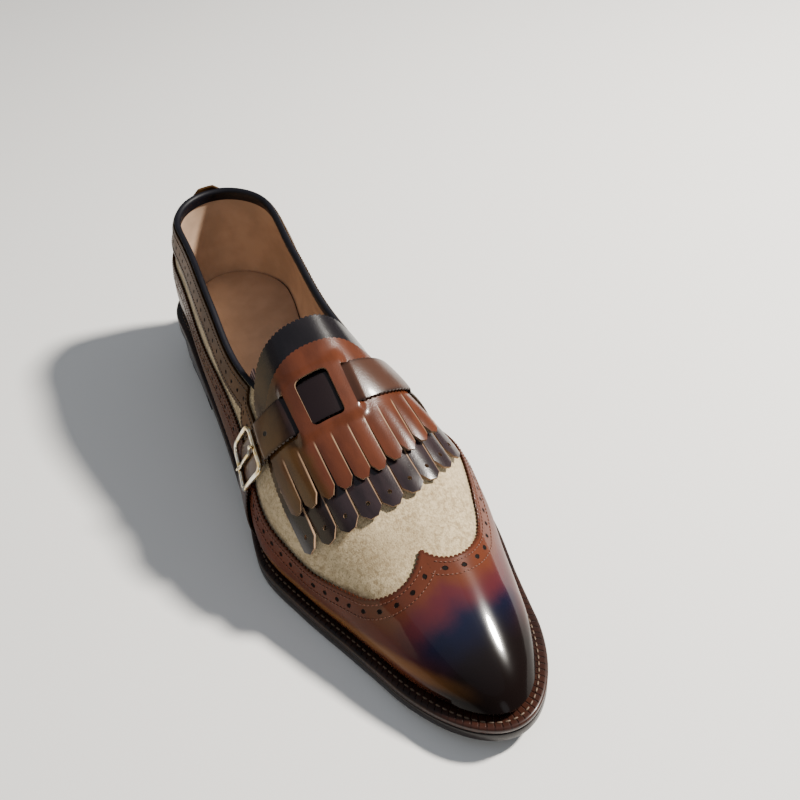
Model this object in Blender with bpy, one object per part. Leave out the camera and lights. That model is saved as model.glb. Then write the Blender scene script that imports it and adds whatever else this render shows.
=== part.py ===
"""A man's kiltie loafer for the right foot, modelled from its last outwards.

Frame: +X runs from heel to toe, +Y to the inner side of the foot and +Z up, with the floor at Z = 0.
The origin is the middle of the heel's tread. Sizes are in metres.

The last is a family of ribs. A rib starts on the feather line, where upper and welt meet, and climbs to
the ridge. Along the shoe the ribs stand square to its length. Round the toe and the heel they fan out
from the two ends of the ridge. A place on the last is given by way, the turn round the shoe (0 at the
back of the heel, 1 at the toe, then 2 back at the heel along the inner side), and rise, the share of
the rib's length climbed, or by station and girth, the distance from the heel and from the ridge."""

import math
from collections import namedtuple

import bmesh
import bpy
import numpy as np
from mathutils.geometry import delaunay_2d_cdt

# Driving sizes of the whole shoe
LENGTH = 0.314
BALL_WIDTH = 0.104
HEEL_WIDTH = 0.070
INSTEP_RISE = 0.076
BACK_HEIGHT = 0.057
HEEL_HEIGHT = 0.025
TOE_SPRING = 0.007

# Thicknesses
SOLE_THICKNESS = 0.0050
WELT_THICKNESS = 0.0030
TOP_LIFT_THICKNESS = 0.0060
INSOLE_ABOVE_WELT = 0.0020
UPPER_WALL = 0.0018
OVERLAY_THICKNESS = 0.0012
FRINGE_THICKNESS = 0.0013
STRAP_THICKNESS = 0.0016
GORE_THICKNESS = 0.0010

# Clearances
SEAT_GAP = 0.0003
LAYER_GAP = 0.0004

# Where the feather line lies inside the sole's edge, and the welt's inner edge under the upper's wall
FEATHER_INSET = 0.0068
WELT_INNER = FEATHER_INSET + UPPER_WALL + 0.0002

# Overlays stop short of the edge that they cover, and the kiltie lies above the tongue
EDGE_SETBACK = 0.0006
KILTIE_LEVEL = LAYER_GAP + FRINGE_THICKNESS + LAYER_GAP

# Heel and tread
HEEL_LENGTH = 0.075
BREAST_HOLLOW = 0.006
HEEL_SEAT_INSET = 0.0010
TREAD_START = 0.172
TREAD_END = 0.238

# The collar opening
THROAT_STATION = 0.185
THROAT_ROUND = 0.030

# The wing: its peak is also the front end of the last's ridge
PEAK_STATION = 0.244

# The collar band and its tab
COLLAR_BAND_WIDTH = 0.0115
COLLAR_BAND_END = 0.170
TAB_WIDTH = 0.009
TAB_HEIGHT = 0.004

# The tongue, by station and girth
TONGUE_TOP = 0.145
TONGUE_CORNER = 0.157
TONGUE_TOP_HALF = 0.038
TONGUE_HALF = 0.0435
TONGUE_TIPS = 0.226
TONGUE_STRIPS = 9
TONGUE_SLIT_LENGTH = 0.019

# The kiltie and the strap that it holds
KILTIE_TOP = 0.156
KILTIE_CORNER = 0.171
KILTIE_TOP_HALF = 0.033
KILTIE_HALF = 0.0365
KILTIE_MIDDLE = -0.0025
KILTIE_TIPS = 0.212
KILTIE_STRIPS = 10
KILTIE_SLIT_LENGTH = 0.022
STRIP_POINT = 0.005
SLIT_WIDTH = 0.0008
TIPS_MIDDLE = -0.009
TIPS_BEND = 7.6
STRAP_STATION = 0.1765
STRAP_WIDTH = 0.0165
STRAP_FLARE = 0.005
STRAP_BEND = 0.0095
STRAP_BEND_REACH = 0.050
WINDOW_MIDDLE = -0.0078
WINDOW_WIDTH = 0.0135
BAR_WIDTH = 0.0055
SLOT_WIDTH = 0.0036
STRAP_CLEARANCE = 0.0014

# The buckle, by girth on the outer side
FRAME_INNER = -0.0425
FRAME_OUTER = -0.0610
FRAME_HEIGHT = 0.0205
FRAME_CORNER = 0.0035
FRAME_WIRE = 0.0022
PRONG_WIRE = 0.0018

# The gores inside the throat
GORE_START = 0.142
GORE_END = 0.156
GORE_TOP_GIRTH = 0.0355
GORE_LOW_GIRTH = 0.046
GORE_GAP = 0.0009

# How finely forms are cut
SHELL_COLUMNS = 64
WING_ROWS = 9
UPPER_ROWS = 5
BAND_COLUMNS = 36
SOLE_STATIONS = 30
WELT_COLUMNS = 60
TONGUE_MESH = 0.0050
KILTIE_MESH = 0.0042
FULL_TURN = 2.0
SIDE_SAMPLES = 181
RISE_SAMPLES = 121
NORMAL_STEP = 0.002

# Half widths of the sole's edge, as shares of half the heel width and half the ball width, and the
# middle of the sole across, as a share of the ball width
Plan = namedtuple("Plan", "station heel ball sway")
PLAN = [
    Plan(0.00, 1.00, 0.00, 0.000),
    Plan(0.12, 1.00, 0.00, 0.000),
    Plan(0.25, 0.65, 0.20, -0.045),
    Plan(0.38, 0.30, 0.45, -0.065),
    Plan(0.50, 0.00, 0.80, -0.035),
    Plan(0.62, 0.00, 1.00, 0.010),
    Plan(0.70, 0.00, 0.92, 0.030),
    Plan(0.80, 0.00, 0.75, 0.045),
    Plan(0.90, 0.00, 0.60, 0.055),
    Plan(1.00, 0.00, 0.50, 0.055),
]
HEEL_ROUND = 0.115
TOE_ROUND = 0.132

# The last above the feather line: the ridge's height as a share of the instep rise, its place across as
# a share of the ball width, how far the wall swells out as a share of the ball width, how full the
# section is, and the collar's height as a share of the back height
Section = namedtuple("Section", "station ridge across swell fullness collar")
SECTIONS = [
    Section(0.00, 1.00, 0.00, 0.025, 3.0, 0.95),
    Section(0.20, 1.00, 0.00, 0.045, 2.7, 0.93),
    Section(0.30, 1.05, 0.00, 0.060, 2.5, 0.95),
    Section(0.40, 1.10, 0.00, 0.060, 2.4, 0.98),
    Section(0.50, 1.00, 0.00, 0.045, 2.3, 1.05),
    Section(0.60, 0.80, 0.00, 0.040, 2.3, 1.10),
    Section(0.70, 0.60, 0.01, 0.035, 2.4, 1.10),
    Section(0.80, 0.42, 0.02, 0.030, 2.6, 1.10),
    Section(0.90, 0.30, 0.04, 0.025, 2.8, 1.10),
    Section(1.00, 0.20, 0.06, 0.020, 2.8, 1.10),
]
SWELL_HEIGHT = 0.35
HEEL_FAN = 0.105

# The wing's upper edge, as a share of each rib's length, on the outer and the inner side
Wing = namedtuple("Wing", "station outer inner")
WING = [
    Wing(0.00, 0.40, 0.40),
    Wing(0.20, 0.35, 0.35),
    Wing(0.30, 0.35, 0.30),
    Wing(0.45, 0.40, 0.30),
    Wing(0.55, 0.35, 0.30),
    Wing(0.65, 0.30, 0.35),
    Wing(0.72, 0.30, 0.42),
    Wing(0.77, 0.38, 0.48),
    Wing(0.81, 0.48, 0.60),
    Wing(0.84, 0.62, 0.70),
    Wing(0.87, 0.80, 0.80),
    Wing(0.90, 1.00, 0.90),
    Wing(0.93, 1.00, 1.00),
    Wing(1.00, 1.00, 1.00),
]

COLOURS = {
    "dark_brown_sole": ((0.045, 0.022, 0.014, 1.0), 0.40, 0.0),
    "stacked_leather": ((0.060, 0.028, 0.016, 1.0), 0.42, 0.0),
    "black_rubber": ((0.012, 0.011, 0.011, 1.0), 0.60, 0.0),
    "tan_lining": ((0.560, 0.360, 0.230, 1.0), 0.65, 0.0),
    "cream_suede": ((0.560, 0.450, 0.300, 1.0), 0.95, 0.0),
    "burnished_brown": ((0.180, 0.055, 0.022, 1.0), 0.20, 0.0),
    "collar_brown": ((0.110, 0.050, 0.018, 1.0), 0.32, 0.0),
    "dark_tongue": ((0.030, 0.016, 0.018, 1.0), 0.30, 0.0),
    "red_brown_kiltie": ((0.200, 0.050, 0.022, 1.0), 0.28, 0.0),
    "strap_brown": ((0.060, 0.030, 0.016, 1.0), 0.28, 0.0),
    "striped_elastic": ((0.450, 0.300, 0.260, 1.0), 0.85, 0.0),
    "buckle_metal": ((0.780, 0.700, 0.520, 1.0), 0.18, 1.0),
}


def smooth_column(rows, column, count=801):
    """One column of a table as a smooth function of station share."""
    at = np.array([row.station for row in rows])
    value = np.array([getattr(row, column) for row in rows])
    slope = np.gradient(value, at)
    fine = np.linspace(0.0, 1.0, count)
    cell = np.clip(np.searchsorted(at, fine, side="right") - 1, 0, len(at) - 2)
    width = at[cell + 1] - at[cell]
    u = (fine - at[cell]) / width
    curve = (
        value[cell] * (1 + 2 * u) * (1 - u) ** 2
        + slope[cell] * width * u * (1 - u) ** 2
        + value[cell + 1] * u * u * (3 - 2 * u)
        - slope[cell + 1] * width * u * u * (1 - u)
    )
    return lambda share: np.interp(share, fine, curve)


def ease(value, start, end):
    """0 at start, 1 at end and smooth between them."""
    u = np.clip((value - start) / (end - start), 0.0, 1.0)
    return u * u * (3 - 2 * u)


plan_heel, plan_ball, plan_sway = (smooth_column(PLAN, c) for c in Plan._fields[1:])
ridge_share, ridge_across, swell_share, fullness, collar_share = (
    smooth_column(SECTIONS, c) for c in Section._fields[1:]
)
wing_outer, wing_inner = (smooth_column(WING, c) for c in Wing._fields[1:])

BACK_X = -HEEL_LENGTH / 2


def along(station):
    """X of a distance from the back of the sole."""
    return BACK_X + station


def sole_bottom(x):
    """Height of the outsole's lower face: heel seat, waist, flat tread and toe spring."""
    station = np.asarray(x) - BACK_X
    waist = HEEL_HEIGHT * (1 - ease(station, HEEL_LENGTH * 0.80, TREAD_START))
    spring = np.clip((station - TREAD_END) / (LENGTH - TREAD_END), 0.0, None)
    return waist + TOE_SPRING * spring**1.6


def feather_height(x):
    """Height of the welt's upper face with the gap that the upper stands on."""
    return sole_bottom(x) + SOLE_THICKNESS + SEAT_GAP + WELT_THICKNESS + SEAT_GAP


def end_round(share):
    """How far the half width has opened out between the two rounded ends."""
    back = 1 - np.clip(share / HEEL_ROUND, 0.0, 1.0)
    front = 1 - np.clip((1 - share) / TOE_ROUND, 0.0, 1.0)
    return np.sqrt(1 - back**2) * np.sqrt(1 - front**2)


def outline(share, side, inset=0.0):
    """A point of the sole's plan, or of an outline that lies inside it, at a share of its length.

    side is -1 on the outer side and +1 on the inner side."""
    half = (plan_heel(share) * HEEL_WIDTH + plan_ball(share) * BALL_WIDTH) / 2 - inset
    x = BACK_X + inset + share * (LENGTH - 2 * inset)
    return x, plan_sway(share) * BALL_WIDTH + side * half * end_round(share)


def share_of(x, inset=FEATHER_INSET):
    return np.clip((x - BACK_X - inset) / (LENGTH - 2 * inset), 0.0, 1.0)


def ridge_y(x):
    return ridge_across(share_of(x)) * BALL_WIDTH


def ridge_height(x):
    """The last's virtual ridge above the feather line."""
    return ridge_share(share_of(x)) * INSTEP_RISE


def side_of(way):
    """-1 for the outer side and +1 for the inner side, with the station share, from the way round."""
    way = np.mod(way, FULL_TURN)
    outer = way <= 1.0
    half_way = np.where(outer, way, FULL_TURN - way)
    return np.where(outer, -1.0, 1.0), (1 - np.cos(np.pi * half_way)) / 2


def way_at(x, side):
    """The way round at which a square rib stands at this X, on either side."""
    half_way = np.arccos(np.clip(1 - 2 * share_of(x), -1.0, 1.0)) / np.pi
    return np.where(np.asarray(side) < 0, half_way, FULL_TURN - half_way)


def rib_point(way, climb):
    """A point of the last: climb is the rib's own angle, 0 on the feather line and 1 on the ridge."""
    side, share = side_of(way)
    foot_x, foot_y = outline(share, side, FEATHER_INSET)
    top_x = np.clip(foot_x, along(LENGTH * HEEL_FAN), along(PEAK_STATION))
    top_y = ridge_y(top_x)
    lift = np.sin(climb * np.pi / 2)
    reach = np.clip(np.cos(climb * np.pi / 2), 0.0, 1.0) ** (2 / fullness(share))
    swell = (
        swell_share(share)
        * BALL_WIDTH
        * (lift / SWELL_HEIGHT)
        * np.exp(1 - lift / SWELL_HEIGHT)
        * reach
    )
    span = np.hypot(foot_x - top_x, foot_y - top_y)
    x = top_x + (foot_x - top_x) * reach
    y = top_y + (foot_y - top_y) * reach
    z = feather_height(x) + ridge_height(x) * lift
    return np.stack(
        [x + (foot_x - top_x) / span * swell, y + (foot_y - top_y) / span * swell, z], -1
    )


def rib_tables():
    """For each way round, the climb at equal shares of the rib's length, and that length."""
    ways = np.linspace(0.0, FULL_TURN, 2 * SIDE_SAMPLES - 1)
    climbs = np.linspace(0.0, 1.0, RISE_SAMPLES)
    points = rib_point(ways[:, None], climbs[None, :])
    steps = np.linalg.norm(np.diff(points, axis=1), axis=2)
    lengths = np.concatenate([np.zeros((len(ways), 1)), np.cumsum(steps, axis=1)], axis=1)
    even = np.array([np.interp(climbs * row[-1], row, climbs) for row in lengths])
    return ways, even, lengths[:, -1]


RIB_WAYS, RIB_CLIMBS, RIB_LENGTHS = rib_tables()


def climb_at(way, rise):
    """The rib's angle at a share of its length, read between the tables' rows."""
    row = np.mod(way, FULL_TURN) / FULL_TURN * (len(RIB_WAYS) - 1)
    column = np.clip(rise, 0.0, 1.0) * (RISE_SAMPLES - 1)
    row_0 = np.clip(np.floor(row).astype(int), 0, len(RIB_WAYS) - 2)
    column_0 = np.clip(np.floor(column).astype(int), 0, RISE_SAMPLES - 2)
    u, v = row - row_0, column - column_0
    low = RIB_CLIMBS[row_0, column_0] * (1 - v) + RIB_CLIMBS[row_0, column_0 + 1] * v
    high = RIB_CLIMBS[row_0 + 1, column_0] * (1 - v) + RIB_CLIMBS[row_0 + 1, column_0 + 1] * v
    return low * (1 - u) + high * u


def girth_of(way):
    """Length of the rib from the feather line to the ridge."""
    return np.interp(np.mod(way, FULL_TURN), RIB_WAYS, RIB_LENGTHS)


def bare_last(way, rise):
    """The last's surface. Past the ridge, a rise above 1 goes down the other side."""
    over = rise > 1.0
    way = np.where(over, FULL_TURN - way, way)
    rise = np.where(over, FULL_TURN - rise, rise)
    return rib_point(way, climb_at(way, rise))


def on_last(way, rise, lift=0.0):
    """Points of the last, lifted off it along its normal."""
    way, rise, lift = np.broadcast_arrays(
        np.asarray(way, float), np.asarray(rise, float), np.asarray(lift, float)
    )
    _, share = side_of(way)
    top = rise > 1.0 - 1e-6
    peak_way = way_at(along(PEAK_STATION), -1)
    fan = top & (share > share_of(along(PEAK_STATION)))
    steady_way = np.where(fan, peak_way, way)
    steady_rise = np.where(fan, 1.0, rise)
    turn = bare_last(steady_way + NORMAL_STEP, steady_rise) - bare_last(
        steady_way - NORMAL_STEP, steady_rise
    )
    low = np.maximum(steady_rise - NORMAL_STEP, 0.0)
    climb = bare_last(steady_way, steady_rise + NORMAL_STEP) - bare_last(steady_way, low)
    normal = np.cross(turn, climb)
    normal /= np.linalg.norm(normal, axis=-1, keepdims=True)
    return bare_last(steady_way, steady_rise) + normal * lift[..., None]


def over_last(station, girth, lift=0.0):
    """Points by their distance from the heel and from the ridge, negative girth on the outer side."""
    station, girth = np.broadcast_arrays(np.asarray(station, float), np.asarray(girth, float))
    way = way_at(along(station), np.sign(girth + 1e-12))
    rise = 1 - np.abs(girth) / girth_of(way)
    return on_last(way, np.maximum(rise, 0.0), lift)


def collar_rise(way):
    """Share of each rib at which the collar's edge cuts it, 1 where the rib is whole."""
    side, share = side_of(way)
    x, _ = outline(share, side, FEATHER_INSET)
    height = np.clip(collar_share(share) * BACK_HEIGHT / ridge_height(x), 0.0, 0.999)
    climb = np.arcsin(height) * 2 / np.pi
    row = np.mod(way, FULL_TURN) / FULL_TURN * (len(RIB_WAYS) - 1)
    climbs = RIB_CLIMBS[np.rint(row).astype(int)]
    rise = np.array(
        [np.interp(c, line, np.linspace(0, 1, RISE_SAMPLES)) for c, line in zip(climb, climbs)]
    )
    behind = np.clip((along(THROAT_STATION) - x) / THROAT_ROUND, 0.0, 1.0)
    return 1 - (1 - rise) * np.sqrt(1 - (1 - behind) ** 2)


def signed_area(loop):
    x, y = loop[:, 0], loop[:, 1]
    return float(np.sum(x * np.roll(y, -1) - np.roll(x, -1) * y)) / 2


def inside(points, loop):
    """Which points of the plane lie inside a closed outline."""
    found = np.zeros(len(points), bool)
    for (ax, ay), (bx, by) in zip(loop, np.roll(loop, -1, axis=0)):
        if ay == by:
            continue
        crosses = (ay > points[:, 1]) != (by > points[:, 1])
        found ^= crosses & (points[:, 0] < (bx - ax) * (points[:, 1] - ay) / (by - ay) + ax)
    return found


def finish_solid(name, points, faces, colour):
    """One closed solid: equal points are joined, and faces that meet back to back are left out."""
    keys = {}
    joined, kept = [], []
    for point in points:
        key = tuple(np.rint(np.asarray(point) / 2e-6).astype(int))
        if key not in keys:
            keys[key] = len(kept)
            kept.append(point)
        joined.append(keys[key])
    found = {}
    for face in faces:
        corners = [joined[i] for i in face]
        corners = [c for k, c in enumerate(corners) if c != corners[k - 1]]
        if len(set(corners)) < 3:
            continue
        key = frozenset(corners)
        if key in found:
            del found[key]
        else:
            found[key] = corners
    mesh = bpy.data.meshes.new(name)
    mesh.from_pydata([tuple(p) for p in kept], [], list(found.values()))
    form = bmesh.new()
    form.from_mesh(mesh)
    loose = [v for v in form.verts if not v.link_faces]
    bmesh.ops.delete(form, geom=loose, context="VERTS")
    bmesh.ops.triangulate(form, faces=form.faces[:])
    if form.calc_volume(signed=True) < 0:
        bmesh.ops.reverse_faces(form, faces=form.faces[:])
    form.to_mesh(mesh)
    form.free()
    piece = bpy.data.objects.new(name, mesh)
    bpy.context.scene.collection.objects.link(piece)
    mesh.materials.append(material(colour))
    return piece


def material(colour):
    found = bpy.data.materials.get(colour)
    if found:
        return found
    rgba, roughness, metallic = COLOURS[colour]
    made = bpy.data.materials.new(colour)
    made.use_nodes = True
    shader = made.node_tree.nodes["Principled BSDF"]
    shader.inputs["Base Color"].default_value = rgba
    shader.inputs["Roughness"].default_value = roughness
    shader.inputs["Metallic"].default_value = metallic
    made.diffuse_color = rgba
    return made


def shell(name, low, high, colour, closed=False):
    """The solid between two grids of points, with a rim along every open side."""
    columns, rows = high.shape[:2]
    points = np.concatenate([high.reshape(-1, 3), low.reshape(-1, 3)])
    under = columns * rows

    def at(i, j):
        return (i % columns) * rows + j

    faces = []
    last = columns if closed else columns - 1
    for i in range(last):
        for j in range(rows - 1):
            face = [at(i, j), at(i + 1, j), at(i + 1, j + 1), at(i, j + 1)]
            faces.append(face)
            faces.append([under + c for c in reversed(face)])
        faces.append([at(i + 1, 0), at(i, 0), under + at(i, 0), under + at(i + 1, 0)])
        top = rows - 1
        faces.append([at(i, top), at(i + 1, top), under + at(i + 1, top), under + at(i, top)])
    if not closed:
        for j in range(rows - 1):
            end = columns - 1
            faces.append([at(0, j), at(0, j + 1), under + at(0, j + 1), under + at(0, j)])
            faces.append([at(end, j + 1), at(end, j), under + at(end, j), under + at(end, j + 1)])
    return finish_solid(name, points, faces, colour)


def panel(name, outline_loop, holes, spacing, low, thickness, colour):
    """A sheet cut to an outline of station and girth and laid on the last at a lift of its own."""
    loops = [np.array(loop, float) for loop in [outline_loop] + holes]
    loops = [loop if signed_area(loop) > 0 else loop[::-1] for loop in loops]
    rims = [refined(loop, spacing) for loop in loops]
    edge = np.concatenate(rims)
    start, end = edge.min(axis=0), edge.max(axis=0)
    across = np.arange(start[0], end[0], spacing)
    around = np.arange(start[1], end[1], spacing)
    grid = np.array([(s, g) for s in across for g in around])
    keep = inside(grid, rims[0])
    for rim in rims[1:]:
        keep &= ~inside(grid, rim)
    near = np.linalg.norm(grid[:, None, :] - edge[None, :, :], axis=2).min(axis=1)
    flat = np.concatenate([edge, grid[keep & (near > spacing * 0.55)]])
    sides, first = [], 0
    for rim in rims:
        sides += [(first + k, first + (k + 1) % len(rim)) for k in range(len(rim))]
        first += len(rim)
    result = delaunay_2d_cdt([tuple(p) for p in flat], sides, [], 1, 1e-7)
    spots = np.array([tuple(p) for p in result[0]])
    faces = [list(face) for face in result[2]]
    middles = np.array([spots[face].mean(axis=0) for face in faces])
    inner = inside(middles, rims[0])
    for rim in rims[1:]:
        inner &= ~inside(middles, rim)
    faces = [f if signed_area(spots[f]) > 0 else f[::-1] for f, good in zip(faces, inner) if good]
    under = low(spots[:, 0], spots[:, 1])
    points = np.concatenate(
        [
            over_last(spots[:, 0], spots[:, 1], under + thickness),
            over_last(spots[:, 0], spots[:, 1], under),
        ]
    )
    count = len(spots)
    used = {(face[k - 1], face[k]) for face in faces for k in range(3)}
    walls = [[b, a, count + a, count + b] for a, b in used if (b, a) not in used]
    both = faces + [[count + c for c in reversed(face)] for face in faces]
    return finish_solid(name, points, both + sorted(walls), colour)


def refined(loop, spacing):
    """An outline with its long sides cut into equal steps."""
    points = []
    for here, there in zip(loop, np.roll(loop, -1, axis=0)):
        steps = max(1, int(np.ceil(np.linalg.norm(there - here) / spacing)))
        points += [here + (there - here) * k / steps for k in range(steps)]
    return np.array(points)


def standing(points, clearance=0.0):
    """Points kept above the welt."""
    floor = feather_height(points[..., 0]) + clearance
    return np.concatenate([points[..., :2], np.maximum(points[..., 2], floor)[..., None]], -1)


def rows_between(low, high, rows):
    return low[:, None] + (high - low)[:, None] * np.linspace(0, 1, rows)[None, :]


def shell_on_last(name, ways, rise, lift, thickness, colour, closed):
    """A sheet over a grid of ways and rises, lifted off the last."""
    high, low = (standing(on_last(ways[:, None], rise, lift + t)) for t in (thickness, 0.0))
    return shell(name, low, high, colour, closed)


def ring_ways(count):
    return np.arange(count) * FULL_TURN / count


def slab(name, inset, low, high, colour, stations=SOLE_STATIONS):
    """A flat piece that fills an outline of the sole between two heights along it."""
    share = (1 - np.cos(np.pi * np.linspace(0, 1, stations))) / 2
    edges = [outline(share, side, inset) for side in (-1, 1)]
    across = np.stack([np.stack(edge, -1) for edge in edges], 1)
    x = across[..., 0]
    low_points = np.concatenate([across, low(x)[..., None]], -1)
    high_points = np.concatenate([across, high(x)[..., None]], -1)
    return shell(name, low_points, high_points, colour)


def make_outsole():
    return slab(
        "outsole",
        0.0,
        lambda x: sole_bottom(x),
        lambda x: sole_bottom(x) + SOLE_THICKNESS,
        "dark_brown_sole",
        SOLE_STATIONS * 2,
    )


def make_welt():
    side, share = side_of(ring_ways(WELT_COLUMNS))
    rings = [outline(share, side, inset) for inset in (0.0, WELT_INNER)]
    flat = np.stack([np.stack(ring, -1) for ring in rings], 1)
    bottom = sole_bottom(flat[..., 0]) + SOLE_THICKNESS + SEAT_GAP
    low = np.concatenate([flat, bottom[..., None]], -1)
    high = np.concatenate([flat, (bottom + WELT_THICKNESS)[..., None]], -1)
    return shell("welt", low, high, "dark_brown_sole", closed=True)


def make_insole():
    return slab(
        "insole",
        WELT_INNER + LAYER_GAP,
        lambda x: sole_bottom(x) + SOLE_THICKNESS + SEAT_GAP,
        lambda x: feather_height(x) + INSOLE_ABOVE_WELT,
        "tan_lining",
        WELT_COLUMNS // 2 + 1,
    )


def heel_grid(inset, height):
    """The heel's plan at a height: rounded behind, hollow in front."""
    across = np.linspace(-1, 1, 7)
    front = HEEL_LENGTH - BREAST_HOLLOW * (1 - across**2)
    step = (1 - np.cos(np.pi / 2 * np.linspace(0, 1, 12)))
    share = step[:, None] * front[None, :] / LENGTH
    x, outer = outline(share, -1, inset)
    _, inner = outline(share, 1, inset)
    y = outer + (inner - outer) * (across[None, :] + 1) / 2
    return np.stack([x, y, height(x) + 0 * x], -1)


def make_heel():
    foot = HEEL_SEAT_INSET * 2
    shell(
        "heel_stack",
        heel_grid(foot, lambda x: TOP_LIFT_THICKNESS + SEAT_GAP),
        heel_grid(HEEL_SEAT_INSET, lambda x: sole_bottom(x) - SEAT_GAP),
        "stacked_leather",
    )
    shell(
        "top_lift",
        heel_grid(foot, lambda x: 0.0),
        heel_grid(foot, lambda x: TOP_LIFT_THICKNESS),
        "black_rubber",
    )


def wing_rise(way):
    """Share of each rib that the wing and its band cover."""
    side, share = side_of(way)
    edge = np.where(side < 0, wing_outer(share), wing_inner(share))
    return np.minimum(edge, 1.0)


def make_upper():
    """Its lower rows are the wing's, so that both bend alike."""
    ways = ring_ways(SHELL_COLUMNS)
    covered = wing_rise(ways)
    lower = rows_between(0 * covered, covered, WING_ROWS)
    upper = rows_between(covered, collar_rise(ways), UPPER_ROWS)[:, 1:]
    rise = np.concatenate([lower, upper], axis=1)
    return shell_on_last("upper", ways, rise, -UPPER_WALL, UPPER_WALL, "cream_suede", True)


def make_wing():
    ways = ring_ways(SHELL_COLUMNS)
    covered = wing_rise(ways)
    rise = rows_between(0 * covered, covered, WING_ROWS)
    return shell_on_last(
        "wing", ways, rise, LAYER_GAP, OVERLAY_THICKNESS, "burnished_brown", True
    )


def band_edges(way):
    """The collar band's lower and upper edge: it follows the collar, then the tongue's side."""
    girth = girth_of(way)
    _, share = side_of(way)
    alongside = ease(share * LENGTH, TONGUE_TOP - 0.012, TONGUE_CORNER - 0.005)
    beside_tongue = 1 - (TONGUE_HALF - LAYER_GAP) * alongside / girth
    back = np.minimum(np.mod(way, FULL_TURN), FULL_TURN - np.mod(way, FULL_TURN))
    tab = TAB_HEIGHT * np.clip(2 - back * girth_of(0.0) / TAB_WIDTH * 4, 0.0, 1.0)
    high = np.minimum(collar_rise(way) - EDGE_SETBACK / girth, beside_tongue)
    return high - COLLAR_BAND_WIDTH / girth, high + tab / girth


def make_collar_band():
    end = float(way_at(along(COLLAR_BAND_END), -1))
    ways = np.linspace(-end, end, 2 * BAND_COLUMNS + 1)
    rise = rows_between(*band_edges(ways), 3)
    return shell_on_last(
        "collar_band", ways, rise, LAYER_GAP, OVERLAY_THICKNESS, "collar_brown", False
    )


def fringe_edge(middle, half, strips, tips, slit_length):
    """A fringe's lower edge from the inner side to the outer: pointed strips with slits between."""
    pitch = 2 * half / strips
    points = []
    for k in range(strips):
        inner = middle + half - k * pitch
        outer = inner - pitch
        centre = (inner + outer) / 2
        tip = tips - TIPS_BEND * (centre - TIPS_MIDDLE) ** 2
        cut = SLIT_WIDTH / 2
        points.append((tip - STRIP_POINT, inner - (cut if k else 0.0)))
        points.append((tip - STRIP_POINT * 0.1, centre + pitch * 0.12))
        points.append((tip - STRIP_POINT * 0.1, centre - pitch * 0.12))
        points.append((tip - STRIP_POINT, outer + (cut if k < strips - 1 else 0.0)))
        if k < strips - 1:
            points.append((tip - slit_length, outer))
    return points


def arched_top(middle, half, top, corner, power, count=15):
    """The upper edge of tongue or kiltie, from the outer side to the inner."""
    reach = np.linspace(-1, 1, count)
    return [(top + (corner - top) * abs(r) ** power, middle + half * r) for r in reach]


def tongue_lift(station, girth):
    return np.full(np.shape(station), LAYER_GAP)


def strap_centre(girth):
    """Station of the strap's middle line, which runs back down both sides."""
    away = np.minimum(np.abs(girth - WINDOW_MIDDLE) / STRAP_BEND_REACH, 1.0)
    return STRAP_STATION - STRAP_BEND * away**2


def between_slots(girth):
    """1 under the kiltie's bars, 0 past the slots, smooth across them."""
    away = np.abs(girth - WINDOW_MIDDLE)
    bars = WINDOW_WIDTH / 2 + BAR_WIDTH
    return 1 - ease(away, bars, bars + SLOT_WIDTH)


def kiltie_lift(station, girth):
    """The kiltie lies on the tongue and its bars rise over the strap."""
    away = np.abs(station - strap_centre(girth))
    near_strap = 1 - ease(away, STRAP_WIDTH / 2 + 0.001, STRAP_WIDTH / 2 + 0.007)
    over_strap = STRAP_THICKNESS + LAYER_GAP
    return KILTIE_LEVEL + over_strap * between_slots(girth) * near_strap


def strap_lift(station, girth):
    """The strap lies under the bars, over the kiltie's sides and then on the wing and the band."""
    kiltie_edge = np.abs(girth - KILTIE_MIDDLE)
    on_kiltie = 1 - ease(kiltie_edge, KILTIE_HALF - 0.0010, KILTIE_HALF + 0.0030)
    rise = (KILTIE_LEVEL + FRINGE_THICKNESS + LAYER_GAP) - KILTIE_LEVEL
    return KILTIE_LEVEL + rise * on_kiltie * (1 - between_slots(girth))


def make_tongue():
    top = arched_top(0.0, TONGUE_TOP_HALF, TONGUE_TOP, TONGUE_CORNER, 4)
    edge = fringe_edge(0.0, TONGUE_HALF, TONGUE_STRIPS, TONGUE_TIPS, TONGUE_SLIT_LENGTH)
    return panel(
        "tongue", top + edge, [], TONGUE_MESH, tongue_lift, FRINGE_THICKNESS, "dark_tongue"
    )


def strap_opening(low, high, corner):
    """An opening with cut corners that lets the strap through between two girths."""
    half = STRAP_WIDTH / 2 + STRAP_CLEARANCE
    corners = [
        (corner - half, low),
        (half - corner, low),
        (half, low + corner),
        (half, high - corner),
        (half - corner, high),
        (corner - half, high),
        (-half, high - corner),
        (-half, low + corner),
    ]
    return [(strap_centre(girth) + station, girth) for station, girth in corners]


def make_kiltie():
    top = arched_top(KILTIE_MIDDLE, KILTIE_TOP_HALF, KILTIE_TOP, KILTIE_CORNER, 3)
    edge = fringe_edge(
        KILTIE_MIDDLE, KILTIE_HALF, KILTIE_STRIPS, KILTIE_TIPS, KILTIE_SLIT_LENGTH
    )
    half = WINDOW_WIDTH / 2
    holes = [strap_opening(WINDOW_MIDDLE - half, WINDOW_MIDDLE + half, 0.0015)]
    for side in (-1, 1):
        near = WINDOW_MIDDLE + side * (half + BAR_WIDTH)
        far = near + side * SLOT_WIDTH
        holes.append(strap_opening(min(near, far), max(near, far), 0.0006))
    return panel(
        "kiltie", top + edge, holes, KILTIE_MESH, kiltie_lift, FRINGE_THICKNESS, "red_brown_kiltie"
    )


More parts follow.
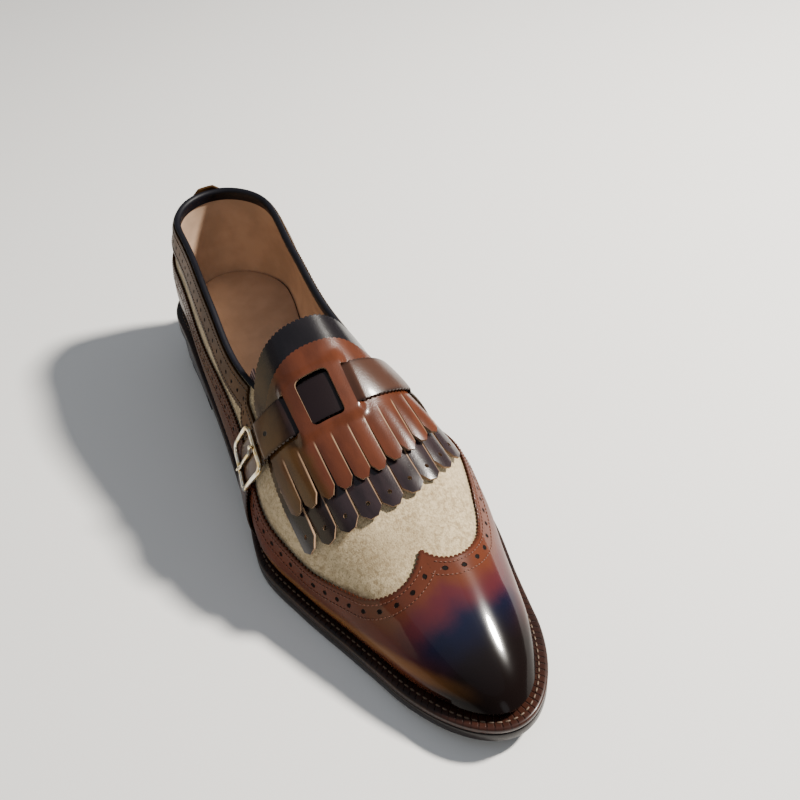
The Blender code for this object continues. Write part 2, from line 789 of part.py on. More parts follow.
def strap_grid(ends, columns, lift_extra):
    """Points across and along a strap. ends are girths, None for the feather line."""
    across = np.linspace(-1, 1, 5)
    share = np.linspace(0, 1, columns)
    points = []
    for place in across:
        reached = []
        for end, side in zip(ends, (1, -1)):
            if end is not None:
                reached.append(end)
                continue
            foot = STRAP_STATION - STRAP_BEND + place * STRAP_WIDTH / 2
            reached.append(side * (float(girth_of(way_at(along(foot), side))) - 0.0004))
        girth = reached[0] + (reached[1] - reached[0]) * share
        flare = STRAP_FLARE * ease(np.abs(girth), 0.055, 0.090)
        station = strap_centre(girth) + place * (STRAP_WIDTH + flare) / 2
        points.append(over_last(station, girth, strap_lift(station, girth) + lift_extra))
    return standing(np.stack(points, 1), LAYER_GAP)


def make_strap():
    ends = (None, FRAME_OUTER + 0.0008)
    grids = [strap_grid(ends, 52, extra) for extra in (0.0, STRAP_THICKNESS)]
    return shell("strap", grids[0][::-1], grids[1][::-1], "strap_brown")


def make_strap_anchor():
    ends = (FRAME_OUTER - 0.0004, None)
    grids = [strap_grid(ends, 12, extra) for extra in (0.0, STRAP_THICKNESS)]
    return shell("strap_anchor", grids[0][::-1], grids[1][::-1], "strap_brown")


def make_gores():
    station = np.linspace(GORE_START, GORE_END, 6)[:, None]
    for name, side in (("gore_lateral", -1), ("gore_medial", 1)):
        girth = side * np.linspace(GORE_TOP_GIRTH, GORE_LOW_GIRTH, 5)[None, :]
        under = -(UPPER_WALL + GORE_GAP)
        grids = [over_last(station, girth, lift) for lift in (under - GORE_THICKNESS, under)]
        if side < 0:
            grids = [grid[:, ::-1] for grid in grids]
        shell(name, grids[0], grids[1], "striped_elastic")


def tube(name, stations, girths, lift, radius, closed, colour, sides=8):
    """A round wire along a line of stations and girths."""
    centre = over_last(stations, girths, lift)
    outward = over_last(stations, girths, lift + 0.001) - centre
    outward /= np.linalg.norm(outward, axis=1, keepdims=True)
    if closed:
        ahead = np.roll(centre, -1, axis=0) - np.roll(centre, 1, axis=0)
    else:
        ahead = np.gradient(centre, axis=0)
    beside = np.cross(ahead, outward)
    beside /= np.linalg.norm(beside, axis=1, keepdims=True)
    turn = np.arange(sides) * 2 * np.pi / sides
    ring = centre[:, None, :] + radius * (
        np.cos(turn)[None, :, None] * outward[:, None, :]
        + np.sin(turn)[None, :, None] * beside[:, None, :]
    )
    count = len(centre)
    faces = []
    for i in range(count if closed else count - 1):
        for j in range(sides):
            a, b = (i % count) * sides, ((i + 1) % count) * sides
            k = (j + 1) % sides
            faces.append([a + k, b + k, b + j, a + j])
    if not closed:
        faces.append(list(reversed(range(sides))))
        faces.append([(count - 1) * sides + j for j in range(sides)])
    return finish_solid(name, ring.reshape(-1, 3), faces, colour)


def frame_lift():
    return KILTIE_LEVEL + STRAP_THICKNESS + SEAT_GAP + FRAME_WIRE / 2


def make_buckle():
    middle = (FRAME_INNER + FRAME_OUTER) / 2
    half_girth = (FRAME_INNER - FRAME_OUTER) / 2
    half_station = FRAME_HEIGHT / 2
    turn = (np.arange(5) + 0.5) / 5 * np.pi / 2
    stations, girths = [], []
    for corner in range(4):
        angle = turn + corner * np.pi / 2
        side_s = 1 if corner in (0, 3) else -1
        side_g = 1 if corner in (0, 1) else -1
        stations.append(side_s * (half_station - FRAME_CORNER) + FRAME_CORNER * np.cos(angle))
        girths.append(side_g * (half_girth - FRAME_CORNER) + FRAME_CORNER * np.sin(angle))
        if corner in (0, 2):
            stations.append(np.linspace(1, -1, 4)[1:-1] * side_s * (half_station - FRAME_CORNER))
            girths.append(np.full(2, side_g * half_girth))
        else:
            stations.append(np.full(2, side_s * half_station))
            girths.append(np.linspace(1, -1, 4)[1:-1] * side_g * (half_girth - FRAME_CORNER))
    girth = middle + np.concatenate(girths)
    station = strap_centre(girth) + np.concatenate(stations)
    tube("buckle_frame", station, girth, frame_lift(), FRAME_WIRE / 2, True, "buckle_metal")
    reach = FRAME_WIRE / 2 + PRONG_WIRE / 2 + SEAT_GAP
    girth = np.linspace(FRAME_OUTER + reach, FRAME_INNER - reach, 5)
    tube(
        "buckle_prong",
        strap_centre(girth),
        girth,
        frame_lift(),
        PRONG_WIRE / 2,
        False,
        "buckle_metal",
    )


def main():
    for piece in list(bpy.data.objects):
        bpy.data.objects.remove(piece)
    make_outsole()
    make_welt()
    make_heel()
    make_insole()
    make_upper()
    make_wing()
    make_collar_band()
    make_gores()
    make_tongue()
    make_kiltie()
    make_strap()
    make_strap_anchor()
    make_buckle()


main()
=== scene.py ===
"""Looks of a kiltie loafer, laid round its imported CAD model.

Every leather piece is a fine sheet laid over the same last that the CAD model stands on. The last is a
family of ribs: way is the turn round the shoe (0 at the back of the heel, 1 at the toe, 2 back at the heel
along the inner side) and rise the share of a rib climbed. Or a place is given by station and girth, the
distances from the heel and from the ridge, with negative girth on the outer side. Sizes are in metres."""

import math
from collections import namedtuple

import bpy
import numpy as np
from bpy.props import FloatProperty, FloatVectorProperty, IntProperty, PointerProperty
from mathutils import Matrix, Vector
from mathutils.bvhtree import BVHTree
from mathutils.geometry import delaunay_2d_cdt
from mathutils.kdtree import KDTree


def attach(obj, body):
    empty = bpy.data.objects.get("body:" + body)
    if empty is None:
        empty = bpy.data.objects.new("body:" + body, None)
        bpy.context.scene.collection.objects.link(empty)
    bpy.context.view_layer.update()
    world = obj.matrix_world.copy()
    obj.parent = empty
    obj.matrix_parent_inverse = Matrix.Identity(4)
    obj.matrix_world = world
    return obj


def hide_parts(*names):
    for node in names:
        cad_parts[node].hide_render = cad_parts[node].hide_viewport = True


bl_info = {
    "name": "Kiltie Loafer Looks",
    "version": (1, 0, 0),
    "blender": (4, 5, 0),
    "location": "3D Viewport > Sidebar > Loafer",
    "description": "Builds the leather, suede, seams, buckle and sole of a kiltie loafer",
    "category": "Object",
}

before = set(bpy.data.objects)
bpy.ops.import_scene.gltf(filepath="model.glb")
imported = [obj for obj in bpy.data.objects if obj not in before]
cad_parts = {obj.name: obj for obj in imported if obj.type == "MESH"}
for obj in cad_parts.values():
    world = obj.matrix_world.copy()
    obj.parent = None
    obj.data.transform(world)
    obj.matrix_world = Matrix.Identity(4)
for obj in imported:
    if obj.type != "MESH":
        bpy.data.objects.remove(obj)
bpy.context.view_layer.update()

# Driving sizes of the whole shoe
LENGTH = 0.314
BALL_WIDTH = 0.104
HEEL_WIDTH = 0.070
INSTEP_RISE = 0.076
BACK_HEIGHT = 0.057
HEEL_HEIGHT = 0.025
TOE_SPRING = 0.007

# Thicknesses
SOLE_THICKNESS = 0.0050
WELT_THICKNESS = 0.0030
TOP_LIFT_THICKNESS = 0.0060
INSOLE_ABOVE_WELT = 0.0020
UPPER_WALL = 0.0018
OVERLAY_THICKNESS = 0.0012
FRINGE_THICKNESS = 0.0013
STRAP_THICKNESS = 0.0016
GORE_THICKNESS = 0.0010

# Clearances
SEAT_GAP = 0.0003
LAYER_GAP = 0.0004

# Where the feather line lies inside the sole's edge, and the welt's inner edge under the upper's wall
FEATHER_INSET = 0.0068
WELT_INNER = FEATHER_INSET + UPPER_WALL + 0.0002

# Overlays stop short of the edge that they cover
EDGE_SETBACK = 0.0006

# How far the outer face of wing and collar band, and the underside of the kiltie, lie above the last
WING_LIFT = LAYER_GAP + OVERLAY_THICKNESS
KILTIE_LEVEL = LAYER_GAP + FRINGE_THICKNESS + LAYER_GAP

# Heel and tread
HEEL_LENGTH = 0.075
BREAST_HOLLOW = 0.006
LIFT_HEIGHT = 0.0034
HEEL_SEAT_INSET = 0.0010
TREAD_START = 0.172
TREAD_END = 0.238

# The collar opening
THROAT_STATION = 0.185
THROAT_ROUND = 0.030

# The wing: its peak is also the front end of the last's ridge
PEAK_STATION = 0.244

# The collar band and its tab
COLLAR_BAND_WIDTH = 0.0115
COLLAR_BAND_END = 0.170
TAB_WIDTH = 0.009
TAB_HEIGHT = 0.004

# The tongue, by station and girth
TONGUE_TOP = 0.145
TONGUE_CORNER = 0.157
TONGUE_TOP_HALF = 0.038
TONGUE_HALF = 0.0435
TONGUE_TIPS = 0.226
TONGUE_STRIPS = 9
TONGUE_SLIT_LENGTH = 0.019

# The kiltie and the strap that it holds
KILTIE_TOP = 0.156
KILTIE_CORNER = 0.171
KILTIE_TOP_HALF = 0.033
KILTIE_HALF = 0.0365
KILTIE_MIDDLE = -0.0025
KILTIE_TIPS = 0.212
KILTIE_STRIPS = 10
KILTIE_SLIT_LENGTH = 0.022
STRIP_POINT = 0.005
SLIT_WIDTH = 0.0008
TIPS_MIDDLE = -0.009
TIPS_BEND = 7.6
STRAP_STATION = 0.1765
STRAP_WIDTH = 0.0165
STRAP_FLARE = 0.005
STRAP_BEND = 0.0095
STRAP_BEND_REACH = 0.050
WINDOW_MIDDLE = -0.0078
WINDOW_WIDTH = 0.0135
BAR_WIDTH = 0.0055
SLOT_WIDTH = 0.0036
STRAP_CLEARANCE = 0.0014
STRAP_CROWN = 0.00035

# Spare length of a slot past each edge of the strap
SLOT_SPARE = 0.00025

# How far back the corners of a strip are cut off, half its blunt tip as a share of its width, and how
# far its hole lies behind the tip
CHAMFER_LENGTH = 0.0030
STRIP_BLUNT = 0.17
TIP_HOLE_BACK = 0.0056

# Rows of holes: how far the wing's and the strap's are moved along, as shares of a pitch, and the pitch
# and radius of the strap's
WING_HOLE_SHIFT = 0.5
STRAP_HOLE_SHIFT = 0.22
STRAP_HOLE_PITCH = 0.0090
STRAP_HOLE_RADIUS = 0.0010

# Stitches: their length as a share of the pitch, how far the wing's two rows lie inside its edge, the
# collar's two rows as shares of its band, and the welt's row and thread
STITCH_SHARE = 0.72
WING_STITCH_INSETS = (0.0019, 0.0073)
COLLAR_STITCH_SHARES = (0.15, 0.82)
WELT_STITCH_SHARE = 0.74
WELT_STITCH_INSET = 0.0032
WELT_THREAD_WIDTH = 0.0009

# The buckle, by girth on the outer side
FRAME_INNER = -0.0425
FRAME_OUTER = -0.0610
FRAME_HEIGHT = 0.0205
FRAME_CORNER = 0.0035
FRAME_WIRE = 0.0022
PRONG_WIRE = 0.0018

# The gores inside the throat
GORE_START = 0.142
GORE_END = 0.156
GORE_TOP_GIRTH = 0.0355
GORE_LOW_GIRTH = 0.046
GORE_GAP = 0.0009
CORD_PITCH = 0.0016

# The way right round the last, how finely its ribs are measured, and the step that a normal is taken over
FULL_TURN = 2.0
SIDE_SAMPLES = 181
RISE_SAMPLES = 121
NORMAL_STEP = 0.002

# Half widths of the sole's edge, as shares of half the heel width and half the ball width, and the
# middle of the sole across, as a share of the ball width
Plan = namedtuple("Plan", "station heel ball sway")
PLAN = [
    Plan(0.00, 1.00, 0.00, 0.000),
    Plan(0.12, 1.00, 0.00, 0.000),
    Plan(0.25, 0.65, 0.20, -0.045),
    Plan(0.38, 0.30, 0.45, -0.065),
    Plan(0.50, 0.00, 0.80, -0.035),
    Plan(0.62, 0.00, 1.00, 0.010),
    Plan(0.70, 0.00, 0.92, 0.030),
    Plan(0.80, 0.00, 0.75, 0.045),
    Plan(0.90, 0.00, 0.60, 0.055),
    Plan(1.00, 0.00, 0.50, 0.055),
]
HEEL_ROUND = 0.115
TOE_ROUND = 0.132

# The last above the feather line: the ridge's height as a share of the instep rise, its place across as
# a share of the ball width, how far the wall swells out as a share of the ball width, how full the
# section is, and the collar's height as a share of the back height
Section = namedtuple("Section", "station ridge across swell fullness collar")
SECTIONS = [
    Section(0.00, 1.00, 0.00, 0.025, 3.0, 0.95),
    Section(0.20, 1.00, 0.00, 0.045, 2.7, 0.93),
    Section(0.30, 1.05, 0.00, 0.060, 2.5, 0.95),
    Section(0.40, 1.10, 0.00, 0.060, 2.4, 0.98),
    Section(0.50, 1.00, 0.00, 0.045, 2.3, 1.05),
    Section(0.60, 0.80, 0.00, 0.040, 2.3, 1.10),
    Section(0.70, 0.60, 0.01, 0.035, 2.4, 1.10),
    Section(0.80, 0.42, 0.02, 0.030, 2.6, 1.10),
    Section(0.90, 0.30, 0.04, 0.025, 2.8, 1.10),
    Section(1.00, 0.20, 0.06, 0.020, 2.8, 1.10),
]
SWELL_HEIGHT = 0.35
HEEL_FAN = 0.105

# The wing's upper edge, as a share of each rib's length, on the outer and the inner side
Wing = namedtuple("Wing", "station outer inner")
WING = [
    Wing(0.00, 0.40, 0.40),
    Wing(0.20, 0.35, 0.35),
    Wing(0.30, 0.35, 0.30),
    Wing(0.45, 0.40, 0.30),
    Wing(0.55, 0.35, 0.30),
    Wing(0.65, 0.30, 0.35),
    Wing(0.72, 0.30, 0.42),
    Wing(0.77, 0.38, 0.48),
    Wing(0.81, 0.48, 0.60),
    Wing(0.84, 0.62, 0.70),
    Wing(0.87, 0.80, 0.80),
    Wing(0.90, 1.00, 0.90),
    Wing(0.93, 1.00, 1.00),
    Wing(1.00, 1.00, 1.00),
]


def smooth_column(rows, column, count=801):
    """One column of a table as a smooth function of station share."""
    at = np.array([row.station for row in rows])
    value = np.array([getattr(row, column) for row in rows])
    slope = np.gradient(value, at)
    fine = np.linspace(0.0, 1.0, count)
    cell = np.clip(np.searchsorted(at, fine, side="right") - 1, 0, len(at) - 2)
    width = at[cell + 1] - at[cell]
    u = (fine - at[cell]) / width
    curve = (
        value[cell] * (1 + 2 * u) * (1 - u) ** 2
        + slope[cell] * width * u * (1 - u) ** 2
        + value[cell + 1] * u * u * (3 - 2 * u)
        - slope[cell + 1] * width * u * u * (1 - u)
    )
    return lambda share: np.interp(share, fine, curve)


def ease(value, start, end):
    """0 at start, 1 at end and smooth between them."""
    u = np.clip((value - start) / (end - start), 0.0, 1.0)
    return u * u * (3 - 2 * u)


plan_heel, plan_ball, plan_sway = (smooth_column(PLAN, c) for c in Plan._fields[1:])
ridge_share, ridge_across, swell_share, fullness, collar_share = (
    smooth_column(SECTIONS, c) for c in Section._fields[1:]
)
wing_outer, wing_inner = (smooth_column(WING, c) for c in Wing._fields[1:])

BACK_X = -HEEL_LENGTH / 2


def along(station):
    """X of a distance from the back of the sole."""
    return BACK_X + station


def sole_bottom(x):
    """Height of the outsole's lower face: heel seat, waist, flat tread and toe spring."""
    station = np.asarray(x) - BACK_X
    waist = HEEL_HEIGHT * (1 - ease(station, HEEL_LENGTH * 0.80, TREAD_START))
    spring = np.clip((station - TREAD_END) / (LENGTH - TREAD_END), 0.0, None)
    return waist + TOE_SPRING * spring**1.6


def feather_height(x):
    """Height of the welt's upper face with the gap that the upper stands on."""
    return sole_bottom(x) + SOLE_THICKNESS + SEAT_GAP + WELT_THICKNESS + SEAT_GAP


def end_round(share):
    """How far the half width has opened out between the two rounded ends."""
    back = 1 - np.clip(share / HEEL_ROUND, 0.0, 1.0)
    front = 1 - np.clip((1 - share) / TOE_ROUND, 0.0, 1.0)
    return np.sqrt(1 - back**2) * np.sqrt(1 - front**2)


def outline(share, side, inset=0.0):
    """A point of the sole's plan, or of an outline that lies inside it, at a share of its length.

    side is -1 on the outer side and +1 on the inner side."""
    half = (plan_heel(share) * HEEL_WIDTH + plan_ball(share) * BALL_WIDTH) / 2 - inset
    x = BACK_X + inset + share * (LENGTH - 2 * inset)
    return x, plan_sway(share) * BALL_WIDTH + side * half * end_round(share)


def share_of(x, inset=FEATHER_INSET):
    return np.clip((x - BACK_X - inset) / (LENGTH - 2 * inset), 0.0, 1.0)


def ridge_y(x):
    return ridge_across(share_of(x)) * BALL_WIDTH


def ridge_height(x):
    """The last's virtual ridge above the feather line."""
    return ridge_share(share_of(x)) * INSTEP_RISE


def side_of(way):
    """-1 for the outer side and +1 for the inner side, with the station share, from the way round."""
    way = np.mod(way, FULL_TURN)
    outer = way <= 1.0
    half_way = np.where(outer, way, FULL_TURN - way)
    return np.where(outer, -1.0, 1.0), (1 - np.cos(np.pi * half_way)) / 2


def way_at(x, side):
    """The way round at which a square rib stands at this X, on either side."""
    half_way = np.arccos(np.clip(1 - 2 * share_of(x), -1.0, 1.0)) / np.pi
    return np.where(np.asarray(side) < 0, half_way, FULL_TURN - half_way)


def rib_point(way, climb):
    """A point of the last: climb is the rib's own angle, 0 on the feather line and 1 on the ridge."""
    side, share = side_of(way)
    foot_x, foot_y = outline(share, side, FEATHER_INSET)
    top_x = np.clip(foot_x, along(LENGTH * HEEL_FAN), along(PEAK_STATION))
    top_y = ridge_y(top_x)
    lift = np.sin(climb * np.pi / 2)
    reach = np.clip(np.cos(climb * np.pi / 2), 0.0, 1.0) ** (2 / fullness(share))
    swell = (
        swell_share(share)
        * BALL_WIDTH
        * (lift / SWELL_HEIGHT)
        * np.exp(1 - lift / SWELL_HEIGHT)
        * reach
    )
    span = np.hypot(foot_x - top_x, foot_y - top_y)
    x = top_x + (foot_x - top_x) * reach
    y = top_y + (foot_y - top_y) * reach
    z = feather_height(x) + ridge_height(x) * lift
    return np.stack(
        [x + (foot_x - top_x) / span * swell, y + (foot_y - top_y) / span * swell, z], -1
    )


def rib_tables():
    """For each way round, the climb at equal shares of the rib's length, and that length."""
    ways = np.linspace(0.0, FULL_TURN, 2 * SIDE_SAMPLES - 1)
    climbs = np.linspace(0.0, 1.0, RISE_SAMPLES)
    points = rib_point(ways[:, None], climbs[None, :])
    steps = np.linalg.norm(np.diff(points, axis=1), axis=2)
    lengths = np.concatenate([np.zeros((len(ways), 1)), np.cumsum(steps, axis=1)], axis=1)
    even = np.array([np.interp(climbs * row[-1], row, climbs) for row in lengths])
    return ways, even, lengths[:, -1]


RIB_WAYS, RIB_CLIMBS, RIB_LENGTHS = rib_tables()


def climb_at(way, rise):
    """The rib's angle at a share of its length, read between the tables' rows."""
    row = np.mod(way, FULL_TURN) / FULL_TURN * (len(RIB_WAYS) - 1)
    column = np.clip(rise, 0.0, 1.0) * (RISE_SAMPLES - 1)
    row_0 = np.clip(np.floor(row).astype(int), 0, len(RIB_WAYS) - 2)
    column_0 = np.clip(np.floor(column).astype(int), 0, RISE_SAMPLES - 2)
    u, v = row - row_0, column - column_0
    low = RIB_CLIMBS[row_0, column_0] * (1 - v) + RIB_CLIMBS[row_0, column_0 + 1] * v
    high = RIB_CLIMBS[row_0 + 1, column_0] * (1 - v) + RIB_CLIMBS[row_0 + 1, column_0 + 1] * v
    return low * (1 - u) + high * u


def girth_of(way):
    """Length of the rib from the feather line to the ridge."""
    return np.interp(np.mod(way, FULL_TURN), RIB_WAYS, RIB_LENGTHS)


def bare_last(way, rise):
    """The last's surface. Past the ridge, a rise above 1 goes down the other side."""
    over = rise > 1.0
    way = np.where(over, FULL_TURN - way, way)
    rise = np.where(over, FULL_TURN - rise, rise)
    return rib_point(way, climb_at(way, rise))


def on_last(way, rise, lift=0.0):
    """Points of the last, lifted off it along its normal."""
    way, rise, lift = np.broadcast_arrays(
        np.asarray(way, float), np.asarray(rise, float), np.asarray(lift, float)
    )
    _, share = side_of(way)
    top = rise > 1.0 - 1e-6
    peak_way = way_at(along(PEAK_STATION), -1)
    fan = top & (share > share_of(along(PEAK_STATION)))
    steady_way = np.where(fan, peak_way, way)
    steady_rise = np.where(fan, 1.0, rise)
    turn = bare_last(steady_way + NORMAL_STEP, steady_rise) - bare_last(
        steady_way - NORMAL_STEP, steady_rise
    )
    low = np.maximum(steady_rise - NORMAL_STEP, 0.0)
    climb = bare_last(steady_way, steady_rise + NORMAL_STEP) - bare_last(steady_way, low)
    normal = np.cross(turn, climb)
    normal /= np.linalg.norm(normal, axis=-1, keepdims=True)
    return bare_last(steady_way, steady_rise) + normal * lift[..., None]


def over_last(station, girth, lift=0.0):
    """Points by their distance from the heel and from the ridge, negative girth on the outer side."""
    station, girth = np.broadcast_arrays(np.asarray(station, float), np.asarray(girth, float))
    way = way_at(along(station), np.sign(girth + 1e-12))
    rise = 1 - np.abs(girth) / girth_of(way)
    return on_last(way, np.maximum(rise, 0.0), lift)


def collar_rise(way):
    """Share of each rib at which the collar's edge cuts it, 1 where the rib is whole."""
    side, share = side_of(way)
    x, _ = outline(share, side, FEATHER_INSET)
    height = np.clip(collar_share(share) * BACK_HEIGHT / ridge_height(x), 0.0, 0.999)
    climb = np.arcsin(height) * 2 / np.pi
    row = np.mod(way, FULL_TURN) / FULL_TURN * (len(RIB_WAYS) - 1)
    climbs = RIB_CLIMBS[np.rint(row).astype(int)]
    rise = np.array(
        [np.interp(c, line, np.linspace(0, 1, RISE_SAMPLES)) for c, line in zip(climb, climbs)]
    )
    behind = np.clip((along(THROAT_STATION) - x) / THROAT_ROUND, 0.0, 1.0)
    return 1 - (1 - rise) * np.sqrt(1 - (1 - behind) ** 2)


def signed_area(loop):
    x, y = loop[:, 0], loop[:, 1]
    return float(np.sum(x * np.roll(y, -1) - np.roll(x, -1) * y)) / 2


def inside(points, loop):
    """Which points of the plane lie inside a closed outline."""
    found = np.zeros(len(points), bool)
    for (ax, ay), (bx, by) in zip(loop, np.roll(loop, -1, axis=0)):
        if ay == by:
            continue
        crosses = (ay > points[:, 1]) != (by > points[:, 1])
        found ^= crosses & (points[:, 0] < (bx - ax) * (points[:, 1] - ay) / (by - ay) + ax)
    return found


def refined(loop, spacing):
    """An outline with its long sides cut into equal steps."""
    points = []
    for here, there in zip(loop, np.roll(loop, -1, axis=0)):
        steps = max(1, int(np.ceil(np.linalg.norm(there - here) / spacing)))
        points += [here + (there - here) * k / steps for k in range(steps)]
    return np.array(points)


def wing_rise(way):
    """Share of each rib that the wing and its band cover."""
    side, share = side_of(way)
    edge = np.where(side < 0, wing_outer(share), wing_inner(share))
    return np.minimum(edge, 1.0)


def band_edges(way):
    """The collar band's lower and upper edge: it follows the collar, then the tongue's side."""
    girth = girth_of(way)
    _, share = side_of(way)
    alongside = ease(share * LENGTH, TONGUE_TOP - 0.012, TONGUE_CORNER - 0.005)
    beside_tongue = 1 - (TONGUE_HALF - LAYER_GAP) * alongside / girth
    back = np.minimum(np.mod(way, FULL_TURN), FULL_TURN - np.mod(way, FULL_TURN))
    tab = TAB_HEIGHT * np.clip(2 - back * girth_of(0.0) / TAB_WIDTH * 4, 0.0, 1.0)
    high = np.minimum(collar_rise(way) - EDGE_SETBACK / girth, beside_tongue)
    return high - COLLAR_BAND_WIDTH / girth, high + tab / girth


def strap_centre(girth):
    """Station of the strap's middle line, which runs back down both sides."""
    away = np.minimum(np.abs(girth - WINDOW_MIDDLE) / STRAP_BEND_REACH, 1.0)
    return STRAP_STATION - STRAP_BEND * away**2


def between_slots(girth):
    """1 under the kiltie's bars, 0 past the slots, smooth across them."""
    away = np.abs(girth - WINDOW_MIDDLE)
    bars = WINDOW_WIDTH / 2 + BAR_WIDTH
    return 1 - ease(away, bars, bars + SLOT_WIDTH)


def kiltie_lift(station, girth):
    """The kiltie lies on the tongue and its bars rise over the strap."""
    away = np.abs(station - strap_centre(girth))
    near_strap = 1 - ease(away, STRAP_WIDTH / 2 + 0.001, STRAP_WIDTH / 2 + 0.007)
    over_strap = STRAP_THICKNESS + LAYER_GAP
    return KILTIE_LEVEL + over_strap * between_slots(girth) * near_strap


def strap_lift(girth):
    """The strap lies under the bars, over the kiltie's sides and then on the wing and the band."""
    kiltie_edge = np.abs(girth - KILTIE_MIDDLE)
    on_kiltie = 1 - ease(kiltie_edge, KILTIE_HALF - 0.0010, KILTIE_HALF + 0.0030)
    return KILTIE_LEVEL + (FRINGE_THICKNESS + LAYER_GAP) * on_kiltie * (1 - between_slots(girth))


def standing(points, clearance=0.0):
    """Points kept above the welt."""
    floor = feather_height(points[..., 0]) + clearance
    return np.concatenate([points[..., :2], np.maximum(points[..., 2], floor)[..., None]], -1)


def outward(way, rise):
    """The last's normal."""
    step = on_last(way, rise, NORMAL_STEP) - on_last(way, rise, 0.0)
    return step / np.linalg.norm(step, axis=-1, keepdims=True)


def across_line(points, normals):
    """Unit directions square to a line on the last, to its left as seen from outside."""
    square = np.cross(normals, np.gradient(points, axis=0))
    return square / np.maximum(np.linalg.norm(square, axis=-1, keepdims=True), 1e-9)


def run_along(points):
    """Distance along a line at each of its points."""
    steps = np.linalg.norm(np.diff(points, axis=0), axis=1)
    return np.concatenate([[0.0], np.cumsum(steps)])


def toothed(count):
    """The pinking iron's outline at four columns to a tooth, from 0 in the notch to 1 at the tip."""
    return np.resize([0.05, 0.78, 1.0, 0.78], count)


def tooth_places(run, pitch):
    """Distances along a line, four to a tooth and in whole teeth."""
    teeth = max(1, round(run[-1] / pitch))
    return run[-1] * np.arange(4 * teeth + 1) / (4 * teeth)


def tooth_columns(ways, line, pitch):
    """Ways at four columns to a tooth along a line, the distance along it, and the teeth."""
    run = run_along(line)
    at = tooth_places(run, pitch)
    return np.interp(at, run, ways), at, toothed(len(at))


def linear(red, green, blue):
    """A colour from its usual 0 to 255 values."""
    parts = [c / 255 for c in (red, green, blue)]
    parts = [c / 12.92 if c < 0.04045 else ((c + 0.055) / 1.055) ** 2.4 for c in parts]
    return (*parts, 1.0)


class Value:
    """What a shader socket gives. Sums and products of values add Math nodes."""

    def __init__(self, finish, socket):
        self.finish = finish
        self.socket = socket

    def maths(self, operation, first, second=0.0):
        values = {0: first, 1: second}
        return self.finish.make("ShaderNodeMath", {"operation": operation}, values)

    def __add__(self, other):
        return self.maths("ADD", self, other)

    def __radd__(self, other):
        return self.maths("ADD", other, self)

    def __sub__(self, other):
        return self.maths("SUBTRACT", self, other)

    def __rsub__(self, other):
        return self.maths("SUBTRACT", other, self)

    def __mul__(self, other):
        return self.maths("MULTIPLY", self, other)

    def __rmul__(self, other):
        return self.maths("MULTIPLY", other, self)

    def __truediv__(self, other):
        return self.maths("DIVIDE", self, other)

    def __pow__(self, other):
        return self.maths("POWER", self, other)

    def part(self):
        return self.maths("FRACT", self)

    def size(self):
        return self.maths("ABSOLUTE", self)

    def most(self, other):
        return self.maths("MAXIMUM", self, other)

    def past(self, start, end):
        """0 before start, 1 after end and smooth between them."""
        values = {"Value": self, "From Min": start, "From Max": end}
        return self.finish.make("ShaderNodeMapRange", {"interpolation_type": "SMOOTHSTEP"}, values)


class Finish:
    """A material, made node by node round its shader."""

    def __init__(self, name):
        self.material = bpy.data.materials.new(name)
        self.material.use_nodes = True
        self.tree = self.material.node_tree
        self.shader = self.tree.nodes["Principled BSDF"]
        self.place = self.make("ShaderNodeTexCoord", {}, {}, "Object")
        self.mark = self.make("ShaderNodeTexCoord", {}, {}, "UV")

    def make(self, kind, settings, values, output=0):
        """Any node: its settings first, then the values or links of its sockets."""
        node = self.tree.nodes.new(kind)
        for setting, chosen in settings.items():
            setattr(node, setting, chosen)
        for socket, value in values.items():
            self.feed(node.inputs[socket], value)
        return Value(self, node.outputs[output])

    def feed(self, socket, value):
        if isinstance(value, Value):
            self.tree.links.new(value.socket, socket)
        else:
            socket.default_value = value

    def axis(self, vector, letter):
        return self.make("ShaderNodeSeparateXYZ", {}, {"Vector": vector}, letter)

    def blend(self, share, under, over):
        """One colour laid over another."""
        values = {0: share, 6: under, 7: over}
        return self.make("ShaderNodeMix", {"data_type": "RGBA"}, values, 2)

    def noise(self, scale, detail=2.0, stretch=(1.0, 1.0, 1.0), roughness=0.5):
        """Cloudy values about 0.5, finer with a greater scale."""
        spread = self.make(
            "ShaderNodeMapping", {"vector_type": "POINT"}, {"Vector": self.place, "Scale": stretch}
        )
        values = {"Vector": spread, "Scale": scale, "Detail": detail, "Roughness": roughness}
        return self.make("ShaderNodeTexNoise", {}, values)

    def dots(self, u, v, pitch, middle, radius, shift=0.0):
        """1 inside each hole of a row that runs along u."""
        away = ((u / pitch + shift).part() - 0.5) * pitch
        up = v - middle
        distance = (away * away + up * up) ** 0.5
        return 1 - distance.past(radius * 0.80, radius * 1.15)

    def done(self, values, height=None, depth=0.0002, strength=1.0):
        """Sets the shader's sockets and, from a height, its bump."""
        for name, value in values.items():
            self.feed(self.shader.inputs[name], value)
        if height is not None:
            sockets = {"Height": height, "Distance": depth, "Strength": strength}
            bump = self.make("ShaderNodeBump", {}, sockets, "Normal")
            self.feed(self.shader.inputs["Normal"], bump)
        return self.material


def sizes():
    return bpy.context.scene.loafer_sizes


def colours():
    return bpy.context.scene.loafer_colours


def tone(name):
    """A chosen colour as a shader socket takes it."""
    return tuple(getattr(colours(), name))


def shade_of(colour, share):
    return tuple(c * share for c in colour[:3]) + (1.0,)


def deselect():
    if bpy.context.mode != "OBJECT":
        bpy.ops.object.mode_set(mode="OBJECT")
    bpy.ops.object.select_all(action="DESELECT")


def choose(piece):
    deselect()
    piece.select_set(True)
    bpy.context.view_layer.objects.active = piece


